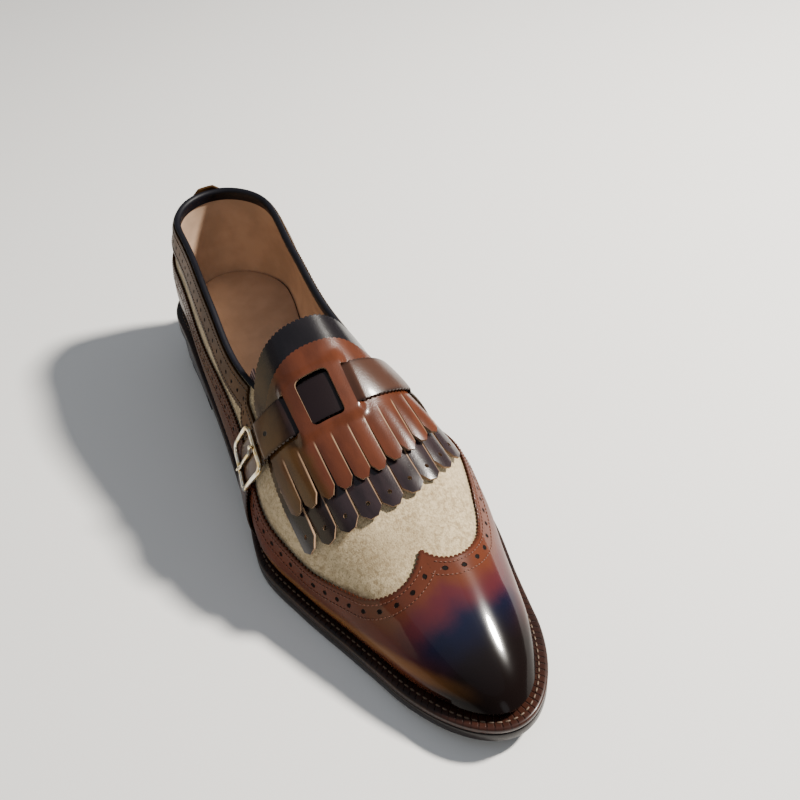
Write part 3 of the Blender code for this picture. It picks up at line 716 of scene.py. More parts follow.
def merge_seams(piece, reach=4e-6):
    """Joins the points that meet at a seam or pole."""
    choose(piece)
    bpy.ops.object.mode_set(mode="EDIT")
    bpy.ops.mesh.select_all(action="SELECT")
    bpy.ops.mesh.remove_doubles(threshold=reach)
    bpy.ops.mesh.dissolve_degenerate(threshold=1e-7)
    bpy.ops.object.mode_set(mode="OBJECT")


def thicken(piece, wall):
    """Gives a sheet its thickness, inwards from the side that shows."""
    choose(piece)
    wall_maker = piece.modifiers.new("wall", "SOLIDIFY")
    wall_maker.thickness = wall
    wall_maker.offset = -1.0
    bpy.ops.object.modifier_apply(modifier=wall_maker.name)


def dress(piece, finishes, stands_for=(), sharp=38):
    """Material, shading, body and CAD nodes of a finished piece."""
    piece.data.materials.clear()
    for finish in finishes:
        piece.data.materials.append(finish)
    choose(piece)
    bpy.ops.object.shade_smooth_by_angle(angle=math.radians(sharp))
    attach(piece, "root")
    if stands_for:
        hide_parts(*stands_for)
    return piece


def draped(name, points, marks, wall=0.0, seam=False):
    """A grid primitive laid over a table of points, with a table of marks as its UV map."""
    columns, rows = points.shape[:2]
    deselect()
    bpy.ops.mesh.primitive_grid_add(
        x_subdivisions=columns - 1, y_subdivisions=rows - 1, size=1.0, location=(0, 0, 0)
    )
    piece = bpy.context.object
    piece.name = piece.data.name = name
    mesh = piece.data
    mesh.vertices.foreach_set("co", points.transpose(1, 0, 2).astype(np.float32).ravel())
    corners = np.zeros(len(mesh.loops), np.int32)
    mesh.loops.foreach_get("vertex_index", corners)
    spread = marks.transpose(1, 0, 2).reshape(-1, 2).astype(np.float32)
    mesh.uv_layers[0].data.foreach_set("uv", spread[corners].ravel())
    mesh.update()
    if seam:
        merge_seams(piece)
    if wall:
        thicken(piece, wall)
    return piece


def stacked(*values):
    """Tables of equal shape, joined as the last axis."""
    return np.stack(np.broadcast_arrays(*values), -1)


def rows_between(low, high, shares):
    return low[:, None] + (high - low)[:, None] * np.asarray(shares)[None, :]


def rounded_plate(name, ring, centre, low, high, rounding, tuck=0.6):
    """A flat piece with a rounded edge, one grid from the middle of its underside over its edge to the
    middle of its top. ring gives the outline at an inset, closed, and centre the points that it fills to."""
    turn = np.linspace(0, 1, 5) * np.pi / 2
    rows = []
    for height, sign in ((low, 1), (high, -1)):
        part = []
        for share in (1.0, 0.66, 0.33):
            flat = ring(rounding)
            flat = flat + (centre(flat) - flat) * share
            part.append(np.concatenate([flat, height(flat[:, :1])], 1))
        for angle in turn:
            flat = ring(rounding * (1 - np.sin(angle)))
            raised = height(flat[:, :1]) + sign * tuck * rounding * (1 - np.cos(angle))
            part.append(np.concatenate([flat, raised], 1))
        rows += part if sign == 1 else part[::-1]
    points = np.stack(rows, 1)
    run = run_along(points[:, len(turn) + 2])
    marks = stacked(run[:, None], points[..., 2] - low(points[..., 0]))
    return draped(name, points, marks, seam=True)


def meshed(name, points, faces):
    """A piece made of points and faces that were worked out."""
    mesh = bpy.data.meshes.new(name)
    mesh.from_pydata(points.tolist(), [], faces)
    piece = bpy.data.objects.new(name, mesh)
    bpy.context.scene.collection.objects.link(piece)
    return piece


# A stitch's rings: the place along it and the share of its thickness
STITCH_RINGS = ((-0.36, 0.80), (0.0, 1.0), (0.36, 0.80))


def stitched(name, lines, pitch, length, width, finish):
    """Rounded stitches along lines of (points, normals): one is modelled and copied to each place."""
    turn = np.arange(6) * np.pi / 3
    form = [(-0.5, 0.0, 0.0)]
    for place, share in STITCH_RINGS:
        form += [(place, np.cos(a) * share / 2, np.sin(a) * share / 2) for a in turn]
    form.append((0.5, 0.0, 0.0))
    form = np.array(form) * (length, width, width * 0.8)
    end = len(form) - 1
    faces = [(0, 1 + (k + 1) % 6, 1 + k) for k in range(6)]
    for ring in range(len(STITCH_RINGS) - 1):
        a, b = 1 + 6 * ring, 7 + 6 * ring
        faces += [(a + k, a + (k + 1) % 6, b + (k + 1) % 6, b + k) for k in range(6)]
    faces += [(end - 6 + k, end - 6 + (k + 1) % 6, end) for k in range(6)]
    points, all_faces = [], []
    for line, normals in lines:
        run = run_along(line)
        count = int(run[-1] / pitch)
        at = (np.arange(count) + 0.5) * run[-1] / count
        spot = np.stack([np.interp(at, run, line[:, k]) for k in range(3)], -1)
        up = np.stack([np.interp(at, run, normals[:, k]) for k in range(3)], -1)
        ahead = np.stack([np.interp(at + 1e-4, run, line[:, k]) for k in range(3)], -1) - spot
        ahead /= np.maximum(np.linalg.norm(ahead, axis=1, keepdims=True), 1e-9)
        beside = np.cross(up, ahead)
        for k in range(count):
            if np.linalg.norm(beside[k]) < 0.5:
                continue
            first = len(points) * len(form)
            axes = np.stack([ahead[k], beside[k], up[k]])
            points.append(spot[k] + form @ axes)
            all_faces += [tuple(first + c for c in face) for face in faces]
    return dress(meshed(name, np.concatenate(points), all_faces), [finish], sharp=80)


def seam_stitches(name, lines, finish):
    """The upper's stitches along lines of (points, normals)."""
    pitch, width = sizes().stitch_pitch, sizes().stitch_width
    return stitched(name, lines, pitch, pitch * STITCH_SHARE, width, finish)


def snapped(piece, points, lift):
    """Points moved to a piece's surface, and its normals there."""
    mesh = piece.data
    tree = BVHTree.FromPolygons(
        [v.co for v in mesh.vertices], [p.vertices for p in mesh.polygons], all_triangles=False
    )
    found = [tree.find_nearest(Vector(p))[:2] for p in points]
    normals = np.array([normal for _, normal in found])
    return np.array([spot for spot, _ in found]) + normals * lift, normals


def pinked(points, pitch, depth):
    """A line of station and girth with teeth cut into it, pointing to its left."""
    line = np.array(points, float)
    run = run_along(line)
    at = tooth_places(run, pitch)
    smooth = np.stack([np.interp(at, run, line[:, k]) for k in (0, 1)], -1)
    ahead = np.gradient(smooth, axis=0)
    ahead /= np.linalg.norm(ahead, axis=1, keepdims=True)
    left = np.stack([-ahead[:, 1], ahead[:, 0]], -1)
    return [tuple(p) for p in smooth + left * toothed(len(at))[:, None] * depth]


def arched_sides(middle, half, top_half, top, corner, power, low):
    """The edge of tongue or kiltie from low on the outer side, over the top, to low on the inner side."""
    reach = np.linspace(-1, 1, 41)
    arch = [(top + (corner - top) * abs(r) ** power, middle + top_half * r) for r in reach]
    return [(low, middle - half)] + arch + [(low, middle + half)]


def strip_tips(girth, middle, half, strips, tips):
    """For places across a fringe: the strip's number, the share across it and the station of its tip."""
    pitch = 2 * half / strips
    place = np.clip((middle + half - girth) / pitch, 0.0, strips - 1e-6)
    number = np.floor(place)
    centre = middle + half - (number + 0.5) * pitch
    return number, place - number, tips - TIPS_BEND * (centre - TIPS_MIDDLE) ** 2


def fringe_edge(middle, half, strips, tips, slit_length):
    """A fringe's lower edge from the inner side to the outer: pointed strips with slits between."""
    pitch = 2 * half / strips
    cut = SLIT_WIDTH / 2
    points = []
    for k in range(strips):
        inner = middle + half - k * pitch
        centre, outer = inner - pitch / 2, inner - pitch
        tip = tips - TIPS_BEND * (centre - TIPS_MIDDLE) ** 2
        left, right = (cut if k else 0.0), (cut if k < strips - 1 else 0.0)
        points.append((tip - CHAMFER_LENGTH, inner - left))
        points.append((tip, centre + pitch * STRIP_BLUNT))
        points.append((tip, centre - pitch * STRIP_BLUNT))
        points.append((tip - CHAMFER_LENGTH, outer + right))
        if k < strips - 1:
            points.append((tip - slit_length, outer))
    return points


def strip_relief(station, girth, fringe, slit_length):
    """How each strip stands off: a round back, one long side higher and its tip curled up."""
    number, share, tip = strip_tips(girth, *fringe)
    free = ease(station, tip - slit_length, tip)
    early = ease(station, tip - slit_length - 0.004, tip - slit_length + 0.006)
    varied = 0.75 + 0.25 * np.sin(2.4 * number + 0.8)
    crown = sizes().strip_crown * (1 - (2 * share - 1) ** 2)
    return early * crown + free * varied * (sizes().strip_curl + sizes().strip_tilt * (1 - share))


def rounded_loop(half, low, high, corner, steps):
    """An oblong with rounded corners: distance from the strap's middle line, and girth."""
    points = []
    for quarter, (side_s, side_g) in enumerate(((1, 1), (-1, 1), (-1, -1), (1, -1))):
        middle_s = side_s * (half - corner)
        middle_g = high - corner if side_g > 0 else low + corner
        for angle in np.linspace(0, np.pi / 2, steps) + quarter * np.pi / 2:
            points.append((middle_s + corner * np.cos(angle), middle_g + corner * np.sin(angle)))
    return np.array(points)


def strap_opening(low, high, corner, spare=STRAP_CLEARANCE):
    """An opening with rounded corners that lets the strap through between two girths."""
    loop = rounded_loop(STRAP_WIDTH / 2 + spare, low, high, corner, 4)
    return [(strap_centre(girth) + beside, girth) for beside, girth in loop]


def tip_holes(fringe, radius, back):
    """A round hole behind the tip of each strip."""
    middle, half, strips, _ = fringe
    turn = np.arange(14) * 2 * np.pi / 14
    holes = []
    for k in range(strips):
        girth = middle + half - (k + 0.5) * 2 * half / strips
        tip = strip_tips(girth, *fringe)[2]
        holes.append([(tip - back + radius * np.cos(a), girth + radius * np.sin(a)) for a in turn])
    return holes


def cut_leather(name, outline_loop, holes, spacing, low, thickness):
    """A sheet cut to an outline of station and girth, laid on the last, with its cut edge as a second
    material. Its UV map holds station and girth."""
    loops = [np.array(loop, float) for loop in [outline_loop] + holes]
    loops = [loop if signed_area(loop) > 0 else loop[::-1] for loop in loops]
    rims = [refined(loop, spacing) for loop in loops]
    edge = np.concatenate(rims)
    start, end = edge.min(axis=0), edge.max(axis=0)
    across = np.arange(start[0], end[0], spacing)
    around = np.arange(start[1], end[1], spacing)
    grid = np.array([(s, g) for s in across for g in around])
    keep = inside(grid, rims[0])
    for rim in rims[1:]:
        keep &= ~inside(grid, rim)
    grid = grid[keep]
    near = np.concatenate(
        [np.linalg.norm(part[:, None] - edge[None], axis=2).min(axis=1) for part in np.array_split(grid, 8)]
    )
    flat = np.concatenate([edge, grid[near > spacing * 0.55]])
    sides, first = [], 0
    for rim in rims:
        sides += [(first + k, first + (k + 1) % len(rim)) for k in range(len(rim))]
        first += len(rim)
    result = delaunay_2d_cdt([tuple(p) for p in flat], sides, [], 1, 1e-7)
    spots = np.array([tuple(p) for p in result[0]])
    middles = np.array([spots[list(face)].mean(axis=0) for face in result[2]])
    inner = inside(middles, rims[0])
    for rim in rims[1:]:
        inner &= ~inside(middles, rim)
    faces = [tuple(face) for face, good in zip(result[2], inner) if good]
    faces = [f if signed_area(spots[list(f)]) > 0 else f[::-1] for f in faces]
    under = low(spots[:, 0], spots[:, 1])
    high_points = over_last(spots[:, 0], spots[:, 1], under + thickness)
    low_points = over_last(spots[:, 0], spots[:, 1], under)
    count = len(spots)
    used = {(face[k - 1], face[k]) for face in faces for k in range(3)}
    walls = sorted((b, a, count + a, count + b) for a, b in used if (b, a) not in used)
    lower = [tuple(count + c for c in reversed(face)) for face in faces]
    piece = meshed(name, np.concatenate([high_points, low_points]), faces + lower + walls)
    mesh = piece.data
    marks = mesh.uv_layers.new(name="UVMap")
    corners = np.zeros(len(mesh.loops), np.int32)
    mesh.loops.foreach_get("vertex_index", corners)
    marks.data.foreach_set("uv", np.concatenate([spots, spots])[corners].astype(np.float32).ravel())
    edge_faces = np.zeros(len(mesh.polygons), np.int32)
    edge_faces[len(faces) + len(lower) :] = 1
    return piece, edge_faces


def dress_cut(piece, edge_faces, finishes, stands_for):
    """A cut piece finished, with its cut edge in the second material."""
    dress(piece, finishes, stands_for)
    piece.data.polygons.foreach_set("material_index", edge_faces)
    piece.data.update()


def suede():
    """Brushed suede: a matt nap, mottled where it was stroked."""
    finish = Finish("cream_suede")
    mottle = finish.noise(520, 4, roughness=0.7)
    stroke = finish.noise(70, 3)
    nap = finish.noise(1500, 3, roughness=0.75)
    colour = finish.blend(mottle.past(0.34, 0.62), tone("suede_dark"), tone("suede_light"))
    colour = finish.blend(stroke.past(0.42, 0.66) * 0.35, colour, shade_of(tone("suede_light"), 1.12))
    patch = finish.noise(42, 3)
    colour = finish.blend(patch.past(0.50, 0.72) * 0.4, colour, shade_of(tone("suede_dark"), 0.8))
    colour = finish.blend(nap.past(0.30, 0.52), shade_of(tone("suede_dark"), 0.72), colour)
    values = {"Base Color": colour, "Roughness": 0.95, "Sheen Weight": 0.25}
    values["Specular IOR Level"] = 0.15
    return finish.done(values, nap * 0.6 + mottle * 0.6, 0.0005, 0.75)


def burnished_wing():
    """Antiqued calf: red brown at its pinked edge, through purple and navy to a black mirror toe. The navy
    on top is partly burnish and partly a painted reflection of blue sky.
    """
    finish = Finish("burnished_leather")
    u, v = finish.axis(finish.mark, "X"), finish.axis(finish.mark, "Y")
    x, z = finish.axis(finish.place, "X"), finish.axis(finish.place, "Z")
    y = finish.axis(finish.place, "Y")
    cloud = finish.noise(55, 4, roughness=0.6)
    streak = finish.noise(90, 4, (0.35, 1.0, 1.0))
    drift = (cloud - 0.5) * 0.012
    edge_brown = finish.blend(x.past(0.06, 0.15), tone("olive_brown"), tone("wing_brown"))
    edge_brown = finish.blend(streak.past(0.35, 0.7) * 0.5, edge_brown, shade_of(tone("wing_brown"), 0.55))
    top = z.past(0.018, 0.030) * x.past(0.185, 0.215)
    # The navy on top is partly the leather's burnish and partly a painted reflection of blue sky.
    purple = (v + drift).past(0.007, 0.016) * top
    navy = (v + drift).past(0.015, 0.027) * top
    colour = finish.blend(purple, edge_brown, tone("wing_purple"))
    colour = finish.blend(navy, colour, tone("navy_and_sky_reflection"))
    side_dark = (1 - (z + drift * 0.5).past(0.012, 0.022)) * x.past(0.10, 0.20)
    colour = finish.blend(side_dark * 0.55, colour, tone("toe_black"))
    tip = (x + drift + y * 0.15).past(0.232, 0.256)
    colour = finish.blend(tip, colour, tone("toe_black"))
    # Painted reflection: a golden band of warm ground light along the lower part of the wing's outer side.
    reflection_band_height = 0.0155 + x.past(0.19, 0.27) * 0.007
    gold_reflection_band = 1 - (z + drift * 0.2 - reflection_band_height).size().past(0.0005, 0.0035)
    gold_reflection_band = gold_reflection_band * (1 - y.past(-0.022, -0.002)) * x.past(0.10, 0.16)
    colour = finish.blend(gold_reflection_band * 0.6, colour, tone("painted_gold_reflection"))
    pitch, inset, radius = sizes().hole_pitch, sizes().hole_inset, sizes().hole_size / 2
    holes = finish.dots(u, v, pitch, inset, radius, WING_HOLE_SHIFT)
    # Painted shade inside the punched holes.
    colour = finish.blend(holes, colour, tone("punched"))
    rim = (1 - v.past(0.0002, 0.0011)) * 0.55
    colour = finish.blend(rim, colour, shade_of(tone("wing_brown"), 0.30))
    mirror = x.past(0.175, 0.240)
    grain = finish.noise(1900, 2)
    rough = 0.36 - 0.20 * mirror + (cloud - 0.5) * 0.08 + holes * 0.5
    height = (grain - 0.5) * 0.10 * (1 - mirror) - holes + (streak - 0.5) * 0.15 * (1 - mirror)
    values = {"Base Color": colour, "Roughness": rough.most(0.06), "Coat Roughness": 0.05}
    above = z.past(0.021, 0.036)
    values["Coat Weight"] = 0.75 * mirror * above * (1 - holes)
    values["Specular IOR Level"] = 0.08
    return finish.done(values, height, 0.0006)


def collar_calf():
    """The collar band: olive brown with a row of punched holes."""
    finish = Finish("collar_leather")
    u, v = finish.axis(finish.mark, "X"), finish.axis(finish.mark, "Y")
    cloud = finish.noise(80, 4)
    grain = finish.noise(1700, 2)
    olive = shade_of(tone("olive_brown"), 1.25)
    colour = finish.blend(cloud.past(0.35, 0.68), shade_of(olive, 0.62), olive)
    holes = finish.dots(u, v, sizes().hole_pitch, COLLAR_BAND_WIDTH * 0.48, sizes().hole_size * 0.42)
    edges = (1 - v.past(0.0, 0.0016)).most(v.past(COLLAR_BAND_WIDTH - 0.0016, COLLAR_BAND_WIDTH))
    colour = finish.blend(edges * 0.6, colour, shade_of(tone("olive_brown"), 0.25))
    # Painted shade inside the punched holes.
    colour = finish.blend(holes, colour, tone("punched"))
    values = {"Base Color": colour, "Roughness": 0.45 + holes * 0.4}
    values["Specular IOR Level"] = 0.10
    return finish.done(values, grain * 0.08 - holes, 0.0006)


def fringe_calf(name, middle_tone, outer_tone, turn_from, turn_to, cut):
    """Glossy calf that changes colour towards the outer side, marked with station and girth. cut is the
    fringe, the length of its slits and the colours of its strips, whose bevelled edges are light: the
    raw edge's colour, and partly a painted highlight along each strip's inner long edge."""
    finish = Finish(name)
    station, girth = finish.axis(finish.mark, "X"), finish.axis(finish.mark, "Y")
    cloud = finish.noise(70, 4, roughness=0.6)
    streak = finish.noise(160, 3, (0.3, 1.0, 0.6))
    grain = finish.noise(1800, 2)
    wander = (cloud - 0.5) * 0.008
    turned = 1 - (girth + wander).past(turn_from, turn_to)
    colour = finish.blend(turned, middle_tone, outer_tone)
    (middle, half, strips, tips), slit_length, strip_tone, outer_strip_tone = cut
    from_tip = tips - TIPS_BEND * (girth - TIPS_MIDDLE) * (girth - TIPS_MIDDLE) - station
    in_fringe = 1 - (from_tip + wander).past(slit_length - 0.001, slit_length + 0.006)
    colour = finish.blend(in_fringe, colour, finish.blend(turned, strip_tone, outer_strip_tone))
    colour = finish.blend(streak.past(0.35, 0.75) * 0.6, colour, shade_of(middle_tone, 0.45))
    seam = 1 - (girth - turn_from).size().past(0.0, 0.006)
    colour = finish.blend(seam * 0.35, colour, shade_of(outer_tone, 0.30))
    # A light line along each strip's inner long edge: the raw edge's colour and partly a painted highlight.
    pitch = 2 * half / strips
    across = ((middle + half - girth) / pitch).part() * pitch
    raw_edge_and_highlight = (1 - across.past(0.0004, 0.0008)) * (1 - from_tip.past(slit_length - 0.003, slit_length))
    colour = finish.blend(raw_edge_and_highlight * 0.8, colour, tone("cut_edge"))
    values = {"Base Color": colour, "Roughness": 0.24 + (cloud - 0.5) * 0.10, "Coat Roughness": 0.12}
    values["Coat Weight"] = 0.20
    values["Specular IOR Level"] = 0.24
    return finish.done(values, grain * 0.10 + streak * 0.15, 0.0004)


def strap_calf():
    """The strap: bronze on the inner side, dark in the window and beside it, olive near the buckle."""
    finish = Finish("strap_leather")
    girth, across = finish.axis(finish.mark, "X"), finish.axis(finish.mark, "Y")
    cloud = finish.noise(80, 4)
    grain = finish.noise(1800, 2)
    bar_end = WINDOW_MIDDLE + WINDOW_WIDTH / 2 + BAR_WIDTH
    inner = girth.past(bar_end - 0.001, bar_end + 0.0015)
    outer = 1 - (girth + (cloud - 0.5) * 0.006).past(-0.034, -0.021)
    colour = finish.blend(inner, tone("window_brown"), tone("strap_bronze"))
    colour = finish.blend(outer, colour, tone("olive_brown"))
    past_buckle = 1 - girth.past(-0.058, -0.045)
    colour = finish.blend(past_buckle * 0.75, colour, shade_of(tone("wing_brown"), 0.45))
    edge = across.size().past(STRAP_WIDTH * 0.40, STRAP_WIDTH * 0.5)
    colour = finish.blend(edge * 0.55, colour, shade_of(tone("window_brown"), 0.45))
    colour = finish.blend(cloud.past(0.4, 0.75) * 0.3, colour, shade_of(tone("window_brown"), 0.8))
    reach = 1 - girth.past(-0.030, -0.0295)
    row = finish.dots(girth, across, STRAP_HOLE_PITCH, 0.0, STRAP_HOLE_RADIUS, STRAP_HOLE_SHIFT)
    holes = row * reach
    # Painted shade inside the punched holes.
    colour = finish.blend(holes, colour, tone("punched"))
    values = {"Base Color": colour, "Roughness": 0.28 + holes * 0.4, "Coat Weight": 0.16}
    values["Coat Roughness"] = 0.12
    values["Specular IOR Level"] = 0.20
    return finish.done(values, grain * 0.10 - holes, 0.0005)


def plain_leather(name, colour, rough, coat, mottle=0.35, scale=90, stretch=(1.0, 1.0, 1.0)):
    """A leather or rubber of one colour, clouded and finely grained."""
    finish = Finish(name)
    cloud = finish.noise(scale, 4, stretch)
    grain = finish.noise(1600, 3)
    mixed = finish.blend(cloud.past(0.3, 0.7), shade_of(colour, 1 - mottle), colour)
    values = {"Base Color": mixed, "Roughness": rough + (cloud - 0.5) * 0.12, "Coat Weight": coat}
    values["Coat Roughness"] = 0.15
    values["Specular IOR Level"] = 0.22
    return finish.done(values, grain * 0.3 + cloud * 0.3, 0.0003, 0.8)


def stacked_heel():
    """Stacked leather lifts, stained dark, with the joins between them."""
    finish = Finish("heel_leather")
    z = finish.axis(finish.place, "Z")
    joins = ((z / LIFT_HEIGHT).part() - 0.5).size().past(0.40, 0.48)
    cloud = finish.noise(60, 4, (1.0, 1.0, 6.0))
    colour = finish.blend(cloud.past(0.3, 0.7), tone("sole_dark"), shade_of(tone("welt_dark"), 1.3))
    colour = finish.blend(joins, colour, shade_of(tone("sole_dark"), 0.4))
    values = {"Base Color": colour, "Roughness": 0.32 + joins * 0.3, "Coat Weight": 0.15}
    values["Specular IOR Level"] = 0.22
    return finish.done(values, cloud * 0.15 - joins * 0.6, 0.0004)


def ribbed_elastic():
    """Woven elastic with fine cords."""
    finish = Finish("elastic")
    across = finish.axis(finish.mark, "Y")
    cords = ((across / CORD_PITCH).part() - 0.5).size()
    colour = finish.blend(cords.past(0.15, 0.40), tone("elastic_light"), tone("elastic_dark"))
    weave = finish.noise(1800, 2)
    return finish.done({"Base Color": colour, "Roughness": 0.85}, weave * 0.3 - cords, 0.0004)


def polished_metal():
    """The buckle: pale polished metal with faint wear."""
    finish = Finish("buckle_metal")
    wear = finish.noise(240, 3)
    colour = finish.blend(wear.past(0.35, 0.7), tone("buckle_pale"), tone("buckle_gold"))
    values = {"Base Color": colour, "Roughness": 0.12 + (wear - 0.5) * 0.08, "Metallic": 1.0}
    return finish.done(values, wear, 0.00005)


def thread(name, colour):
    """Waxed thread."""
    finish = Finish(name)
    fibre = finish.noise(2500, 2)
    mixed = finish.blend(fibre.past(0.3, 0.7), shade_of(colour, 0.6), colour)
    return finish.done({"Base Color": mixed, "Roughness": 0.55}, fibre, 0.0001)


def welt_leather():
    """The welt: dark leather with the wheel's notches between the stitches."""
    finish = Finish("welt_dark")
    u, v = finish.axis(finish.mark, "X"), finish.axis(finish.mark, "Y")
    notch = ((u / sizes().welt_pitch).part() - 0.5).size().past(0.36, 0.48)
    cloud = finish.noise(90, 4)
    colour = finish.blend(cloud.past(0.3, 0.7), tone("sole_dark"), tone("welt_dark"))
    toe = finish.axis(finish.place, "X").past(0.235, 0.275)
    colour = finish.blend(toe * 0.5, colour, shade_of(tone("wing_brown"), 0.45))
    colour = finish.blend(notch * 0.5, colour, shade_of(tone("sole_dark"), 0.35))
    values = {"Base Color": colour, "Roughness": 0.36, "Coat Weight": 0.12, "Coat Roughness": 0.15}
    values["Specular IOR Level"] = 0.22
    return finish.done(values, cloud * 0.2 - notch * v.past(0.001, 0.0015), 0.0003)


def length_of(name, description, default, **limits):
    return FloatProperty(
        name=name, description=description, default=default, unit="LENGTH", precision=5, **limits
    )


def colour_of(name, description, *rgb):
    return FloatVectorProperty(
        name=name, description=description, size=4, subtype="COLOR", default=linear(*rgb), min=0.0, max=1.0
    )


class LoaferSizes(bpy.types.PropertyGroup):
    """Sizes of the seams, holes and teeth."""

    tooth_pitch: length_of("Tooth pitch", "Distance between the teeth of a pinked edge", 0.0020)
    tooth_depth: length_of("Tooth depth", "Depth of the teeth of a pinked edge", 0.0008)
    hole_pitch: length_of("Hole pitch", "Distance between the punched holes", 0.0064)
    hole_size: length_of("Hole size", "Diameter of the punched holes", 0.0019)
    hole_inset: length_of("Hole inset", "Distance of the punched holes from the edge", 0.0045)
    stitch_pitch: length_of("Stitch pitch", "Distance between the upper's stitches", 0.0019)
    stitch_width: length_of("Stitch width", "Thickness of the upper's thread", 0.00055)
    welt_pitch: length_of("Welt stitch pitch", "Distance between the welt's stitches", 0.0031)
    strip_crown: length_of("Strip roundness", "How far the back of a fringe strip is raised", 0.0004)
    strip_curl: length_of("Strip curl", "How far the tip of a fringe strip is lifted", 0.0010)
    strip_tilt: length_of("Strip tilt", "How far one long side of a strip is lifted", 0.0011)
    columns: IntProperty(
        name="Columns", description="Columns of the suede upper's sheet", default=420, min=120, max=900
    )


class LoaferColours(bpy.types.PropertyGroup):
    """Colours of the leathers, suede, thread and metal."""

    suede_light: colour_of("Suede, light", "Brushed side of the suede", 196, 177, 142)
    suede_dark: colour_of("Suede, dark", "Shaded nap of the suede", 150, 130, 98)
    wing_brown: colour_of("Wing brown", "Red brown of the wing's edge", 86, 43, 26)
    wing_purple: colour_of("Wing purple", "Purple between the brown and the navy", 70, 27, 32)
    # Partly burnish and partly a painted reflection of blue sky on the wing's top.
    navy_and_sky_reflection: colour_of("Toe navy", "Navy of the wing's middle", 11, 15, 38)
    toe_black: colour_of("Toe black", "Black brown of the toe", 16, 10, 9)
    olive_brown: colour_of("Olive brown", "Collar band, and the outer side of kiltie and strap", 82, 55, 26)
    kiltie_red: colour_of("Kiltie red brown", "Middle and inner side of the kiltie", 84, 43, 26)
    tongue_dark: colour_of("Tongue", "Navy black of the tongue", 21, 17, 20)
    fringe_grey: colour_of("Fringe", "Grey brown of the lower fringe", 42, 32, 34)
    strap_bronze: colour_of("Strap bronze", "Inner side of the strap", 62, 39, 29)
    window_brown: colour_of("Window brown", "Strap inside the window", 23, 13, 14)
    cut_edge: colour_of("Cut edge", "Undyed edge of the thick leather", 150, 122, 98)
    lining_tan: colour_of("Lining", "Tan lining leather", 186, 158, 134)
    binding_navy: colour_of("Binding", "Dark binding along the topline", 13, 12, 20)
    # Colour of the painted golden reflection along the wing's outer side.
    painted_gold_reflection: colour_of("Gold streak", "Painted golden reflection along the wing's outer side", 116, 78, 40)
    # Near-black painted shade for the inside of a painted punched hole.
    punched: colour_of("Punched hole", "Inside of a punched hole", 14, 9, 8)
    elastic_light: colour_of("Elastic, light", "Raised cords of the elastic", 206, 170, 158)
    elastic_dark: colour_of("Elastic, dark", "Gaps between the elastic's cords", 98, 68, 66)
    buckle_pale: colour_of("Buckle, pale", "Polished face of the buckle", 236, 230, 214)
    buckle_gold: colour_of("Buckle, gold", "Warmer parts of the buckle", 214, 182, 110)
    thread_brown: colour_of("Thread", "Thread of the upper's seams", 100, 54, 34)
    welt_thread: colour_of("Welt thread", "Thread of the welt", 92, 72, 56)
    welt_dark: colour_of("Welt", "Stained welt leather", 44, 24, 17)
    sole_dark: colour_of("Sole", "Stained edge of the sole", 24, 13, 11)
    rubber: colour_of("Top lift", "Rubber under the heel", 20, 18, 18)
    floor: colour_of("Floor", "Pale studio floor", 236, 235, 233)


def wing_ways():
    """The wing's columns: four to a tooth along its open edge, and even ones round the covered toe."""
    ways = np.linspace(0.0, FULL_TURN, 8001)
    covered = wing_rise(ways) >= 0.9990
    first, last = ways[covered][0], ways[covered][-1]
    parts, runs, teeth = [], [], []
    for start, end in ((0.0, first), (last, FULL_TURN)):
        fine = np.linspace(start, end, 3000)
        line = on_last(fine, wing_rise(fine), WING_LIFT)
        columns, run, tooth = tooth_columns(fine, line, sizes().tooth_pitch)
        parts.append(columns)
        runs.append(run)
        teeth.append(tooth)
    covered_ways = np.linspace(first, last, 140)[1:-1]
    still = np.zeros(len(covered_ways))
    ways = np.concatenate([parts[0], covered_ways, parts[1]])
    run = np.concatenate([runs[0], still + runs[0][-1], runs[1] + runs[0][-1]])
    return ways, run, np.concatenate([teeth[0], still, teeth[1]]), len(parts[0]), len(parts[1])


class LOAFER_OT_suede_upper(bpy.types.Operator):
    """Lays the suede upper and its lining over the last"""

    bl_idname = "loafer.suede_upper"
    bl_label = "Suede upper and lining"

    def execute(self, context):
        ways = np.linspace(0.0, FULL_TURN, sizes().columns + 1)
        top = collar_rise(ways)
        rise = rows_between(0 * top, top, np.linspace(0, 1, 30))
        marks = stacked(ways[:, None], rise)
        points = standing(on_last(ways[:, None], rise, 0.0))
        piece = draped("suede_upper", points, marks, UPPER_WALL * 0.55, seam=True)
        dress(piece, [suede()], ["upper"])
        points = standing(on_last(ways[:, None], rise, -UPPER_WALL * 0.58))
        piece = draped("lining", points, marks, UPPER_WALL * 0.40, seam=True)
        finish = plain_leather("lining_leather", tone("lining_tan"), 0.55, 0.0, 0.18)
        dress(piece, [finish])
        return {"FINISHED"}


